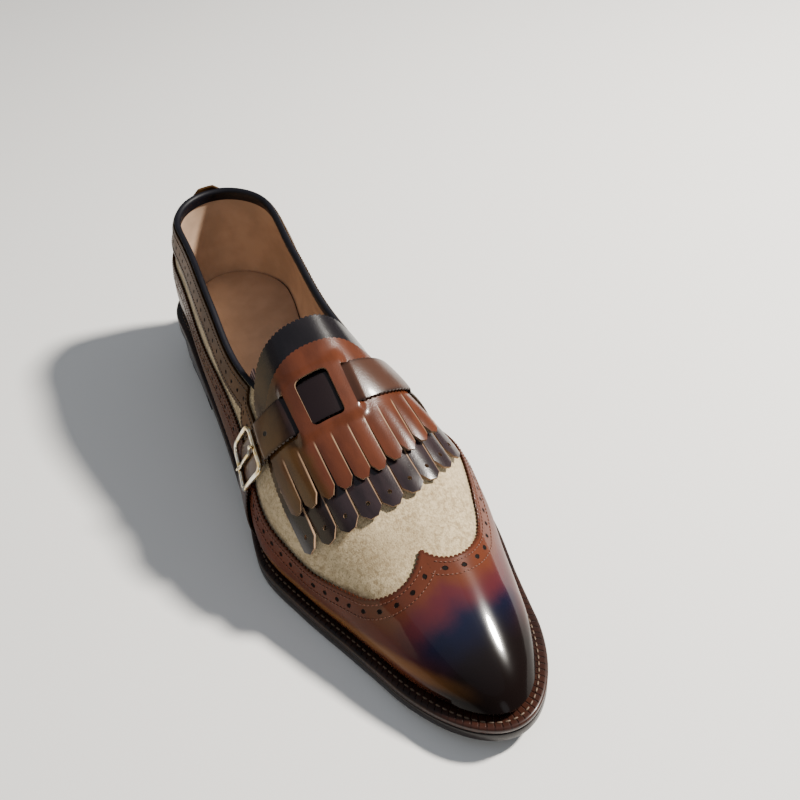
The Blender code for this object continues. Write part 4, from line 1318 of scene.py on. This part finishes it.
class LOAFER_OT_wing(bpy.types.Operator):
    """Makes the burnished wing with its pinked and punched edge and two rows of stitches"""

    bl_idname = "loafer.wing"
    bl_label = "Wing"

    def execute(self, context):
        ways, run, teeth, outer_count, inner_count = wing_ways()
        covered = wing_rise(ways)
        shares = np.concatenate([np.linspace(0, 0.94, 20), [0.972, 1.0]])
        rise = rows_between(0 * covered, covered, shares)
        points = standing(on_last(ways[:, None], rise, WING_LIFT))
        line, normals = points[:, -1], outward(ways, np.minimum(covered, 0.998))
        across = np.zeros_like(line)
        across[:outer_count] = across_line(line[:outer_count], normals[:outer_count])
        across[-inner_count:] = across_line(line[-inner_count:], normals[-inner_count:])
        tips = line + across * (teeth * sizes().tooth_depth)[:, None] - normals * 0.00025
        points = np.concatenate([points, tips[:, None]], 1)
        tree = KDTree(len(line))
        for k, point in enumerate(line):
            tree.insert(point, k)
        tree.balance()
        marks = np.zeros(points.shape[:2] + (2,))
        for i, column in enumerate(points):
            for j, point in enumerate(column[:-1]):
                _, k, away = tree.find(point)
                marks[i, j] = (run[k], away)
            marks[i, -2:] = ((run[i], 0.0), (run[i], -teeth[i] * sizes().tooth_depth))
        marks[0, :, 0], marks[-1, :, 0] = 0.0, run[-1]
        piece = draped("wing", points, marks, OVERLAY_THICKNESS, seam=True)
        dress(piece, [burnished_wing()], ["wing"])
        finish = thread("seam_thread", tone("thread_brown"))
        lines = []
        for inset in WING_STITCH_INSETS:
            for part in (slice(8, outer_count - 12), slice(-inner_count + 12, -8)):
                target = (line - across * inset)[part]
                lines.append(snapped(piece, target[::2], sizes().stitch_width * 0.22))
        seam_stitches("wing_stitches", lines, finish)
        return {"FINISHED"}


class LOAFER_OT_collar(bpy.types.Operator):
    """Makes the punched collar band with its stitches, and the dark binding of the topline"""

    bl_idname = "loafer.collar"
    bl_label = "Collar band and binding"

    def execute(self, context):
        end = float(way_at(along(COLLAR_BAND_END), -1))
        fine = np.linspace(-end, end, 4001)
        lower = on_last(fine, band_edges(fine)[0], WING_LIFT)
        ways, run, teeth = tooth_columns(fine, lower, sizes().tooth_pitch)
        low, high = band_edges(ways)
        rise = rows_between(low, high, np.linspace(0, 1, 12))
        points = on_last(ways[:, None], rise, WING_LIFT)
        normals = outward(ways, low)
        down = -across_line(points[:, 0], normals)
        tips = points[:, 0] + down * (teeth * sizes().tooth_depth)[:, None] - normals * 0.0002
        points = np.concatenate([tips[:, None], points], 1)
        height = (rise - low[:, None]) * girth_of(ways)[:, None]
        height = np.concatenate([-teeth[:, None] * sizes().tooth_depth, height], 1)
        piece = draped("collar_band", points, stacked(run[:, None], height), OVERLAY_THICKNESS)
        dress(piece, [collar_calf()], ["collar_band"])
        lines = []
        for share in COLLAR_STITCH_SHARES:
            at = low + (high - low) * share
            lines.append((on_last(ways, at, WING_LIFT + 0.0001)[::2], outward(ways, at)[::2]))
        finish = thread("collar_thread", shade_of(tone("olive_brown"), 0.5))
        seam_stitches("collar_stitches", lines, finish)
        self.bind_topline(end)
        return {"FINISHED"}

    def bind_topline(self, end):
        """The binding turns over the collar's edge and runs down inside it."""
        ways = np.linspace(-end, end, 500)
        top, girth = collar_rise(ways), girth_of(ways)
        profile = [
            (0.0012, -0.0006),
            (0.0011, -0.0010),
            (0.0006, -0.0015),
            (-0.0004, -0.0017),
            (-0.0014, -0.0014),
            (-0.0020, -0.0007),
            (-0.0022, 0.0004),
            (-0.0022, 0.0022),
            (-0.0022, 0.0046),
        ]
        rows = [on_last(ways, np.minimum(top - drop / girth, 1.0), lift) for lift, drop in profile]
        points = np.stack(rows, 1)
        run = run_along(points[:, 3])
        marks = stacked(run[:, None], np.arange(len(profile))[None, :] * 0.001)
        piece = draped("topline_binding", points, marks, 0.0005)
        finish = plain_leather("binding_leather", tone("binding_navy"), 0.5, 0.0, 0.3)
        dress(piece, [finish])


class LOAFER_OT_gores(bpy.types.Operator):
    """Makes the ribbed elastic gores inside the throat"""

    bl_idname = "loafer.gores"
    bl_label = "Elastic gores"

    def execute(self, context):
        finish = ribbed_elastic()
        station = np.linspace(GORE_START, GORE_END, 20)[:, None]
        for name, side in (("gore_lateral", -1), ("gore_medial", 1)):
            girth = side * np.linspace(GORE_TOP_GIRTH, GORE_LOW_GIRTH, 14)[None, :]
            points = over_last(station, girth, -(UPPER_WALL + GORE_GAP))
            marks = stacked(station, girth)
            if side < 0:
                points, marks = points[:, ::-1], marks[:, ::-1]
            piece = draped(name + "_elastic", points, marks, GORE_THICKNESS)
            dress(piece, [finish], [name])
        return {"FINISHED"}


class LOAFER_OT_tongue(bpy.types.Operator):
    """Cuts the tongue with its pinked top and its fringe of punched strips"""

    bl_idname = "loafer.tongue"
    bl_label = "Tongue and lower fringe"

    def execute(self, context):
        fringe = (0.0, TONGUE_HALF, TONGUE_STRIPS, TONGUE_TIPS)
        last_tip = float(strip_tips(TONGUE_HALF, *fringe)[2]) - STRIP_POINT
        sides = arched_sides(
            0.0, TONGUE_HALF, TONGUE_TOP_HALF, TONGUE_TOP, TONGUE_CORNER, 4, last_tip - 0.001
        )
        outline_loop = pinked(sides, sizes().tooth_pitch, sizes().tooth_depth * 0.8)
        outline_loop += fringe_edge(*fringe, TONGUE_SLIT_LENGTH)
        holes = tip_holes(fringe, sizes().hole_size * 0.45, TIP_HOLE_BACK)

        def low(station, girth):
            return LAYER_GAP + strip_relief(station, girth, fringe, TONGUE_SLIT_LENGTH)

        piece, edges = cut_leather("tongue", outline_loop, holes, 0.0013, low, FRINGE_THICKNESS)
        finish = fringe_calf(
            "dark_leather",
            tone("tongue_dark"),
            shade_of(tone("olive_brown"), 0.75),
            -0.029,
            -0.019,
            (fringe, TONGUE_SLIT_LENGTH, tone("fringe_grey"), shade_of(tone("fringe_grey"), 0.7)),
        )
        raw = plain_leather("cut_edge", tone("cut_edge"), 0.6, 0.0)
        dress_cut(piece, edges, [finish, raw], ["tongue"])
        return {"FINISHED"}


class LOAFER_OT_kiltie(bpy.types.Operator):
    """Cuts the kiltie with its window, bars, pinked edges and fringe"""

    bl_idname = "loafer.kiltie"
    bl_label = "Kiltie"

    def execute(self, context):
        fringe = (KILTIE_MIDDLE, KILTIE_HALF, KILTIE_STRIPS, KILTIE_TIPS)
        last_tip = float(strip_tips(KILTIE_MIDDLE - KILTIE_HALF, *fringe)[2]) - STRIP_POINT
        sides = arched_sides(
            KILTIE_MIDDLE, KILTIE_HALF, KILTIE_TOP_HALF, KILTIE_TOP, KILTIE_CORNER, 3, last_tip - 0.006
        )
        outline_loop = pinked(sides, sizes().tooth_pitch, sizes().tooth_depth * 0.6)
        outline_loop += fringe_edge(*fringe, KILTIE_SLIT_LENGTH)
        half = WINDOW_WIDTH / 2
        holes = [strap_opening(WINDOW_MIDDLE - half, WINDOW_MIDDLE + half, 0.0022)]
        for side in (-1, 1):
            near = WINDOW_MIDDLE + side * (half + BAR_WIDTH)
            far = near + side * SLOT_WIDTH
            holes.append(strap_opening(min(near, far), max(near, far), 0.0006, SLOT_SPARE))

        def low(station, girth):
            relief = strip_relief(station, girth, fringe, KILTIE_SLIT_LENGTH)
            return kiltie_lift(station, girth) + relief

        piece, edges = cut_leather("kiltie", outline_loop, holes, 0.0012, low, FRINGE_THICKNESS)
        finish = fringe_calf(
            "kiltie_leather",
            tone("kiltie_red"),
            shade_of(tone("olive_brown"), 0.9),
            -0.0245,
            -0.0185,
            (fringe, KILTIE_SLIT_LENGTH, tone("kiltie_red"), tone("olive_brown")),
        )
        raw = plain_leather("kiltie_edge", shade_of(tone("cut_edge"), 0.8), 0.5, 0.1)
        dress_cut(piece, edges, [finish, raw], ["kiltie"])
        return {"FINISHED"}


def strap_sheet(ends):
    """Points and marks of a strap, pinked on both edges, between two girths or, for None, to the welt."""
    across = np.array([-1.0, -0.97, -0.86, -0.6, -0.3, 0.0, 0.3, 0.6, 0.86, 0.97, 1.0])
    reached = []
    for end, side in zip(ends, (1, -1)):
        foot = STRAP_STATION - STRAP_BEND + across * STRAP_WIDTH / 2
        drop = np.array([side * (float(girth_of(way_at(along(f), side))) - 0.0004) for f in foot])
        reached.append(drop if end is None else np.full(len(across), end))
    length = float(np.abs(reached[1] - reached[0]).max())
    teeth = round(length / sizes().tooth_pitch)
    share = np.linspace(0, 1, 4 * teeth + 1)
    girth = reached[0][None, :] + (reached[1] - reached[0])[None, :] * share[:, None]
    flare = STRAP_FLARE * ease(np.abs(girth), 0.055, 0.090)
    half = (STRAP_WIDTH + flare) / 2
    bite = np.where(np.abs(across) > 0.99, (toothed(len(share))[:, None] - 0.6) * 0.0006, 0.0)
    place = across[None, :] * half + np.sign(across)[None, :] * bite
    station = strap_centre(girth) + place
    crown = STRAP_CROWN * (1 - np.abs(across) ** 3)[None, :]
    edge_drop = 0.00045 * (np.abs(across) > 0.99)[None, :]
    lift = strap_lift(girth) + STRAP_THICKNESS + crown - edge_drop
    points = standing(over_last(station, girth, lift), LAYER_GAP + STRAP_THICKNESS)
    return points, stacked(girth, place)


class LOAFER_OT_strap(bpy.types.Operator):
    """Makes the strap and the short strap that holds the buckle"""

    bl_idname = "loafer.strap"
    bl_label = "Strap"

    def execute(self, context):
        finish = strap_calf()
        for name, ends in (
            ("strap", (None, FRAME_OUTER + 0.0008)),
            ("strap_anchor", (FRAME_OUTER - 0.0004, None)),
        ):
            points, marks = strap_sheet(ends)
            piece = draped(name, points, marks, STRAP_THICKNESS)
            dress(piece, [finish], [name])
        return {"FINISHED"}


def wire(name, station, girth, lift, section, closed):
    """A wire of oval section, by its width and height, along a line at a lift over the last."""
    width, height = section
    centre = over_last(station, girth, lift)
    outwards = over_last(station, girth, lift + NORMAL_STEP) - centre
    outwards /= np.linalg.norm(outwards, axis=1, keepdims=True)
    ahead = np.gradient(centre, axis=0)
    if closed:
        ahead = np.roll(centre, -1, axis=0) - np.roll(centre, 1, axis=0)
        centre, outwards, ahead = (np.concatenate([a, a[:1]]) for a in (centre, outwards, ahead))
    beside = np.cross(ahead, outwards)
    beside /= np.linalg.norm(beside, axis=1, keepdims=True)
    turn = np.linspace(0, 2 * np.pi, 21)
    taper = np.ones(len(centre))
    if not closed:
        taper[0], taper[-1] = 0.001, 0.001
        taper[1], taper[-2] = 0.7, 0.7
    flat = np.sign(np.cos(turn)) * np.abs(np.cos(turn)) ** 0.7
    tall = np.sign(np.sin(turn)) * np.abs(np.sin(turn)) ** 0.7
    points = centre[:, None] + taper[:, None, None] * (
        flat[None, :, None] * beside[:, None] * width / 2
        + tall[None, :, None] * outwards[:, None] * height / 2
    )
    marks = stacked(run_along(centre)[:, None], turn[None, :])
    return draped(name, points, marks, seam=True)


class LOAFER_OT_buckle(bpy.types.Operator):
    """Makes the buckle's frame and prong"""

    bl_idname = "loafer.buckle"
    bl_label = "Buckle"

    def execute(self, context):
        finish = polished_metal()
        lift = KILTIE_LEVEL + STRAP_THICKNESS + SEAT_GAP + FRAME_WIRE / 2
        loop = rounded_loop(FRAME_HEIGHT / 2, FRAME_OUTER, FRAME_INNER, FRAME_CORNER, 9)
        beside, girth = refined(loop, 0.0008).T
        station = strap_centre(girth) + beside
        piece = wire("buckle_frame", station, girth, lift, (FRAME_WIRE, FRAME_WIRE * 0.85), True)
        dress(piece, [finish], ["buckle_frame"], sharp=80)
        girth = np.linspace(FRAME_OUTER, FRAME_INNER + 0.0014, 24)
        hop = np.clip(1 - np.abs(girth - FRAME_INNER) / 0.006, 0.0, 1.0)
        loop_back = np.clip(1 - np.abs(girth - FRAME_OUTER) / 0.003, 0.0, 1.0)
        over_frame = np.maximum(ease(hop, 0, 1), ease(loop_back, 0, 1))
        raised = lift + (FRAME_WIRE / 2 + PRONG_WIRE / 2) * over_frame
        station = strap_centre(girth)
        piece = wire("buckle_prong", station, girth, raised, (PRONG_WIRE, PRONG_WIRE * 0.8), False)
        dress(piece, [finish], ["buckle_prong"], sharp=80)
        return {"FINISHED"}


def sole_ring(inset, count=561):
    """The sole's outline at an inset, closed."""
    side, share = side_of(np.linspace(0.0, FULL_TURN, count))
    return np.stack(outline(share, side, inset), -1)


def sole_spine(points):
    """The middle of the sole at the same places along it."""
    share = np.clip((points[:, 0] - BACK_X) / LENGTH, 0.0, 1.0)
    return np.stack([points[:, 0], plan_sway(share) * BALL_WIDTH], -1)


def heel_ring(inset):
    """The heel's outline at an inset, closed: rounded behind, hollow in front."""
    turn = np.linspace(0.0, 1.0, 90)
    reach = (1 - np.cos(np.pi / 2 * turn)) * (HEEL_LENGTH - inset) / LENGTH
    outer = np.stack(outline(reach, -1, inset), -1)
    inner = np.stack(outline(reach, 1, inset), -1)[::-1]
    across = np.linspace(-1, 1, 41)[1:-1, None]
    front = outer[-1] + (inner[0] - outer[-1]) * (across + 1) / 2
    front[:, 0] -= BREAST_HOLLOW * (1 - across[:, 0] ** 2)
    return np.concatenate([outer, front, inner])


def heel_middle(points):
    return np.full_like(points, points.mean(axis=0))


class LOAFER_OT_bottom(bpy.types.Operator):
    """Makes the outsole, welt with its stitches, insole, stacked heel and top lift"""

    bl_idname = "loafer.bottom"
    bl_label = "Sole, welt and heel"

    def execute(self, context):
        sole_finish = plain_leather("sole_leather", tone("sole_dark"), 0.36, 0.1, 0.35)
        piece = rounded_plate(
            "outsole", sole_ring, sole_spine, sole_bottom, lambda x: sole_bottom(x) + SOLE_THICKNESS, 0.0011
        )
        dress(piece, [sole_finish], ["outsole"])
        self.make_welt()
        piece = rounded_plate(
            "insole",
            lambda inset: sole_ring(WELT_INNER + LAYER_GAP + inset),
            sole_spine,
            lambda x: sole_bottom(x) + SOLE_THICKNESS + SEAT_GAP,
            lambda x: feather_height(x) + INSOLE_ABOVE_WELT,
            0.0008,
        )
        finish = plain_leather("insole_leather", shade_of(tone("lining_tan"), 0.92), 0.5, 0.05, 0.15)
        dress(piece, [finish], ["insole"])
        for name, inset, low, high, finish, slot in (
            (
                "heel_stack",
                HEEL_SEAT_INSET,
                lambda x: 0 * x + TOP_LIFT_THICKNESS + SEAT_GAP,
                lambda x: sole_bottom(x) - SEAT_GAP,
                stacked_heel(),
                "heel_leather",
            ),
            (
                "top_lift",
                HEEL_SEAT_INSET * 1.5,
                lambda x: 0 * x,
                lambda x: 0 * x + TOP_LIFT_THICKNESS,
                plain_leather("top_lift_rubber", tone("rubber"), 0.6, 0.0, 0.3),
                "top_lift_rubber",
            ),
        ):
            piece = rounded_plate(
                name, lambda more, inset=inset: heel_ring(inset + more), heel_middle, low, high, 0.0006
            )
            dress(piece, [finish], [name])
        return {"FINISHED"}

    def make_welt(self):
        """The welt's ring, its upper edge rounded, and its stitches."""
        rows = [
            (WELT_INNER, 1.0, 0.0),
            (0.0052, 1.0, 0.0),
            (0.0016, 1.0, 0.0),
            (0.0007, 1.0, -0.0001),
            (0.0002, 1.0, -0.0005),
            (0.0, 1.0, -0.0010),
            (0.0, 0.0, 0.0005),
            (0.0004, 0.0, 0.0),
            (WELT_INNER, 0.0, 0.0),
            (WELT_INNER, 1.0, 0.0),
        ]
        lines = []
        for inset, share, more in rows[::-1]:
            flat = sole_ring(inset, 721)
            floor = sole_bottom(flat[:, :1]) + SOLE_THICKNESS + SEAT_GAP
            lines.append(np.concatenate([flat, floor + WELT_THICKNESS * share + more], 1))
        points = np.stack(lines, 1)
        run = run_along(points[:, 4])
        marks = stacked(run[:, None], np.array([r[0] for r in rows[::-1]])[None, :])
        piece = draped("welt", points, marks, seam=True)
        dress(piece, [welt_leather()], ["welt"])
        flat = sole_ring(WELT_STITCH_INSET, 1201)
        top = feather_height(flat[:, :1]) - SEAT_GAP + 0.00005
        line = np.concatenate([flat, top], 1)
        normals = np.tile((0.0, 0.0, 1.0), (len(line), 1))
        pitch = sizes().welt_pitch
        length = pitch * WELT_STITCH_SHARE
        finish = thread("welt_thread", tone("welt_thread"))
        lines = [(line, normals)]
        stitched("welt_stitches", lines, pitch, length, WELT_THREAD_WIDTH, finish)


# The camera's place, its angles in degrees and its focal length in pixels of an 800 pixel picture
CAMERA_PLACE = (0.43, -0.10, 0.345)
CAMERA_ANGLES = (66.2, 42.1, -4.5)
FOCAL_PIXELS = 975.0
PICTURE_PIXELS = 800


def turned_to(azimuth, elevation):
    """The direction from the shoe towards an azimuth and elevation in degrees."""
    a, e = math.radians(azimuth), math.radians(elevation)
    return Vector((math.sin(a) * math.cos(e), -math.cos(a) * math.cos(e), math.sin(e)))


# Studio lights: azimuth, elevation, distance, width, power and colour
Lamp = namedtuple("Lamp", "name azimuth elevation distance width power colour")
LAMPS = [
    Lamp("key", 166, 46, 1.3, 0.16, 50.0, (1.0, 0.95, 0.87)),
    Lamp("overhead", 40, 80, 1.6, 2.4, 3.5, (0.70, 0.82, 1.0)),
    Lamp("outer_fill", -12, 12, 1.6, 1.2, 4.0, (1.0, 0.84, 0.56)),
    Lamp("front_fill", 85, 25, 1.7, 0.5, 1.5, (0.92, 0.96, 1.0)),
]


class LOAFER_OT_stage(bpy.types.Operator):
    """Sets the pale floor, the soft studio lights and the camera"""

    bl_idname = "loafer.stage"
    bl_label = "Floor, lights and camera"

    def execute(self, context):
        deselect()
        bpy.ops.mesh.primitive_plane_add(size=12.0, location=(0, 0, 0))
        floor = bpy.context.object
        floor.name = "studio_floor"
        finish = Finish("studio_floor")
        floor.data.materials.append(finish.done({"Base Color": tone("floor"), "Roughness": 0.85}))
        world = bpy.data.worlds.new("studio")
        world.use_nodes = True
        back = world.node_tree.nodes["Background"]
        back.inputs["Color"].default_value = (0.88, 0.93, 1.0, 1.0)
        back.inputs["Strength"].default_value = 0.24
        context.scene.world = world
        middle = Vector((0.11, 0.0, 0.03))
        for lamp in LAMPS:
            light = bpy.data.lights.new(lamp.name, "AREA")
            light.shape = "DISK"
            light.size = lamp.width
            light.energy = lamp.power
            light.color = lamp.colour
            holder = bpy.data.objects.new(lamp.name, light)
            direction = turned_to(lamp.azimuth, lamp.elevation)
            holder.location = middle + direction * lamp.distance
            holder.rotation_euler = direction.to_track_quat("Z", "Y").to_euler()
            context.scene.collection.objects.link(holder)
        azimuth, elevation, roll = CAMERA_ANGLES
        back_way = turned_to(azimuth, elevation)
        right = Vector((0, 0, 1)).cross(back_way).normalized()
        up = back_way.cross(right)
        roll = math.radians(roll)
        rolled_right = right * math.cos(roll) + up * math.sin(roll)
        rolled_up = up * math.cos(roll) - right * math.sin(roll)
        turn = Matrix((rolled_right, rolled_up, back_way)).transposed()
        lens = bpy.data.cameras.new("photo_camera")
        lens.sensor_width = 36.0
        lens.lens = FOCAL_PIXELS / PICTURE_PIXELS * 36.0
        lens.clip_start, lens.clip_end = 0.01, 50.0
        camera = bpy.data.objects.new("photo_camera", lens)
        camera.matrix_world = Matrix.Translation(CAMERA_PLACE) @ turn.to_4x4()
        context.scene.collection.objects.link(camera)
        context.scene.camera = camera
        return {"FINISHED"}


OPERATORS = (
    LOAFER_OT_suede_upper,
    LOAFER_OT_wing,
    LOAFER_OT_collar,
    LOAFER_OT_gores,
    LOAFER_OT_tongue,
    LOAFER_OT_kiltie,
    LOAFER_OT_strap,
    LOAFER_OT_buckle,
    LOAFER_OT_bottom,
    LOAFER_OT_stage,
)


class LOAFER_PT_looks(bpy.types.Panel):
    """Lists the loafer's pieces, sizes and colours"""

    bl_idname = "LOAFER_PT_looks"
    bl_label = "Kiltie Loafer"
    bl_space_type = "VIEW_3D"
    bl_region_type = "UI"
    bl_category = "Loafer"

    def draw(self, context):
        column = self.layout.column()
        for operator in OPERATORS:
            column.operator(operator.bl_idname)
        for group in (context.scene.loafer_sizes, context.scene.loafer_colours):
            box = self.layout.box()
            for name in type(group).__annotations__:
                box.prop(group, name)


CLASSES = (LoaferSizes, LoaferColours, *OPERATORS, LOAFER_PT_looks)


def register():
    for cls in CLASSES:
        bpy.utils.register_class(cls)
    bpy.types.Scene.loafer_sizes = PointerProperty(type=LoaferSizes)
    bpy.types.Scene.loafer_colours = PointerProperty(type=LoaferColours)


def unregister():
    del bpy.types.Scene.loafer_colours
    del bpy.types.Scene.loafer_sizes
    for cls in reversed(CLASSES):
        bpy.utils.unregister_class(cls)


def main():
    register()
    for operator in OPERATORS:
        group, name = operator.bl_idname.split(".")
        getattr(getattr(bpy.ops, group), name)()


if __name__ == "__main__":
    main()
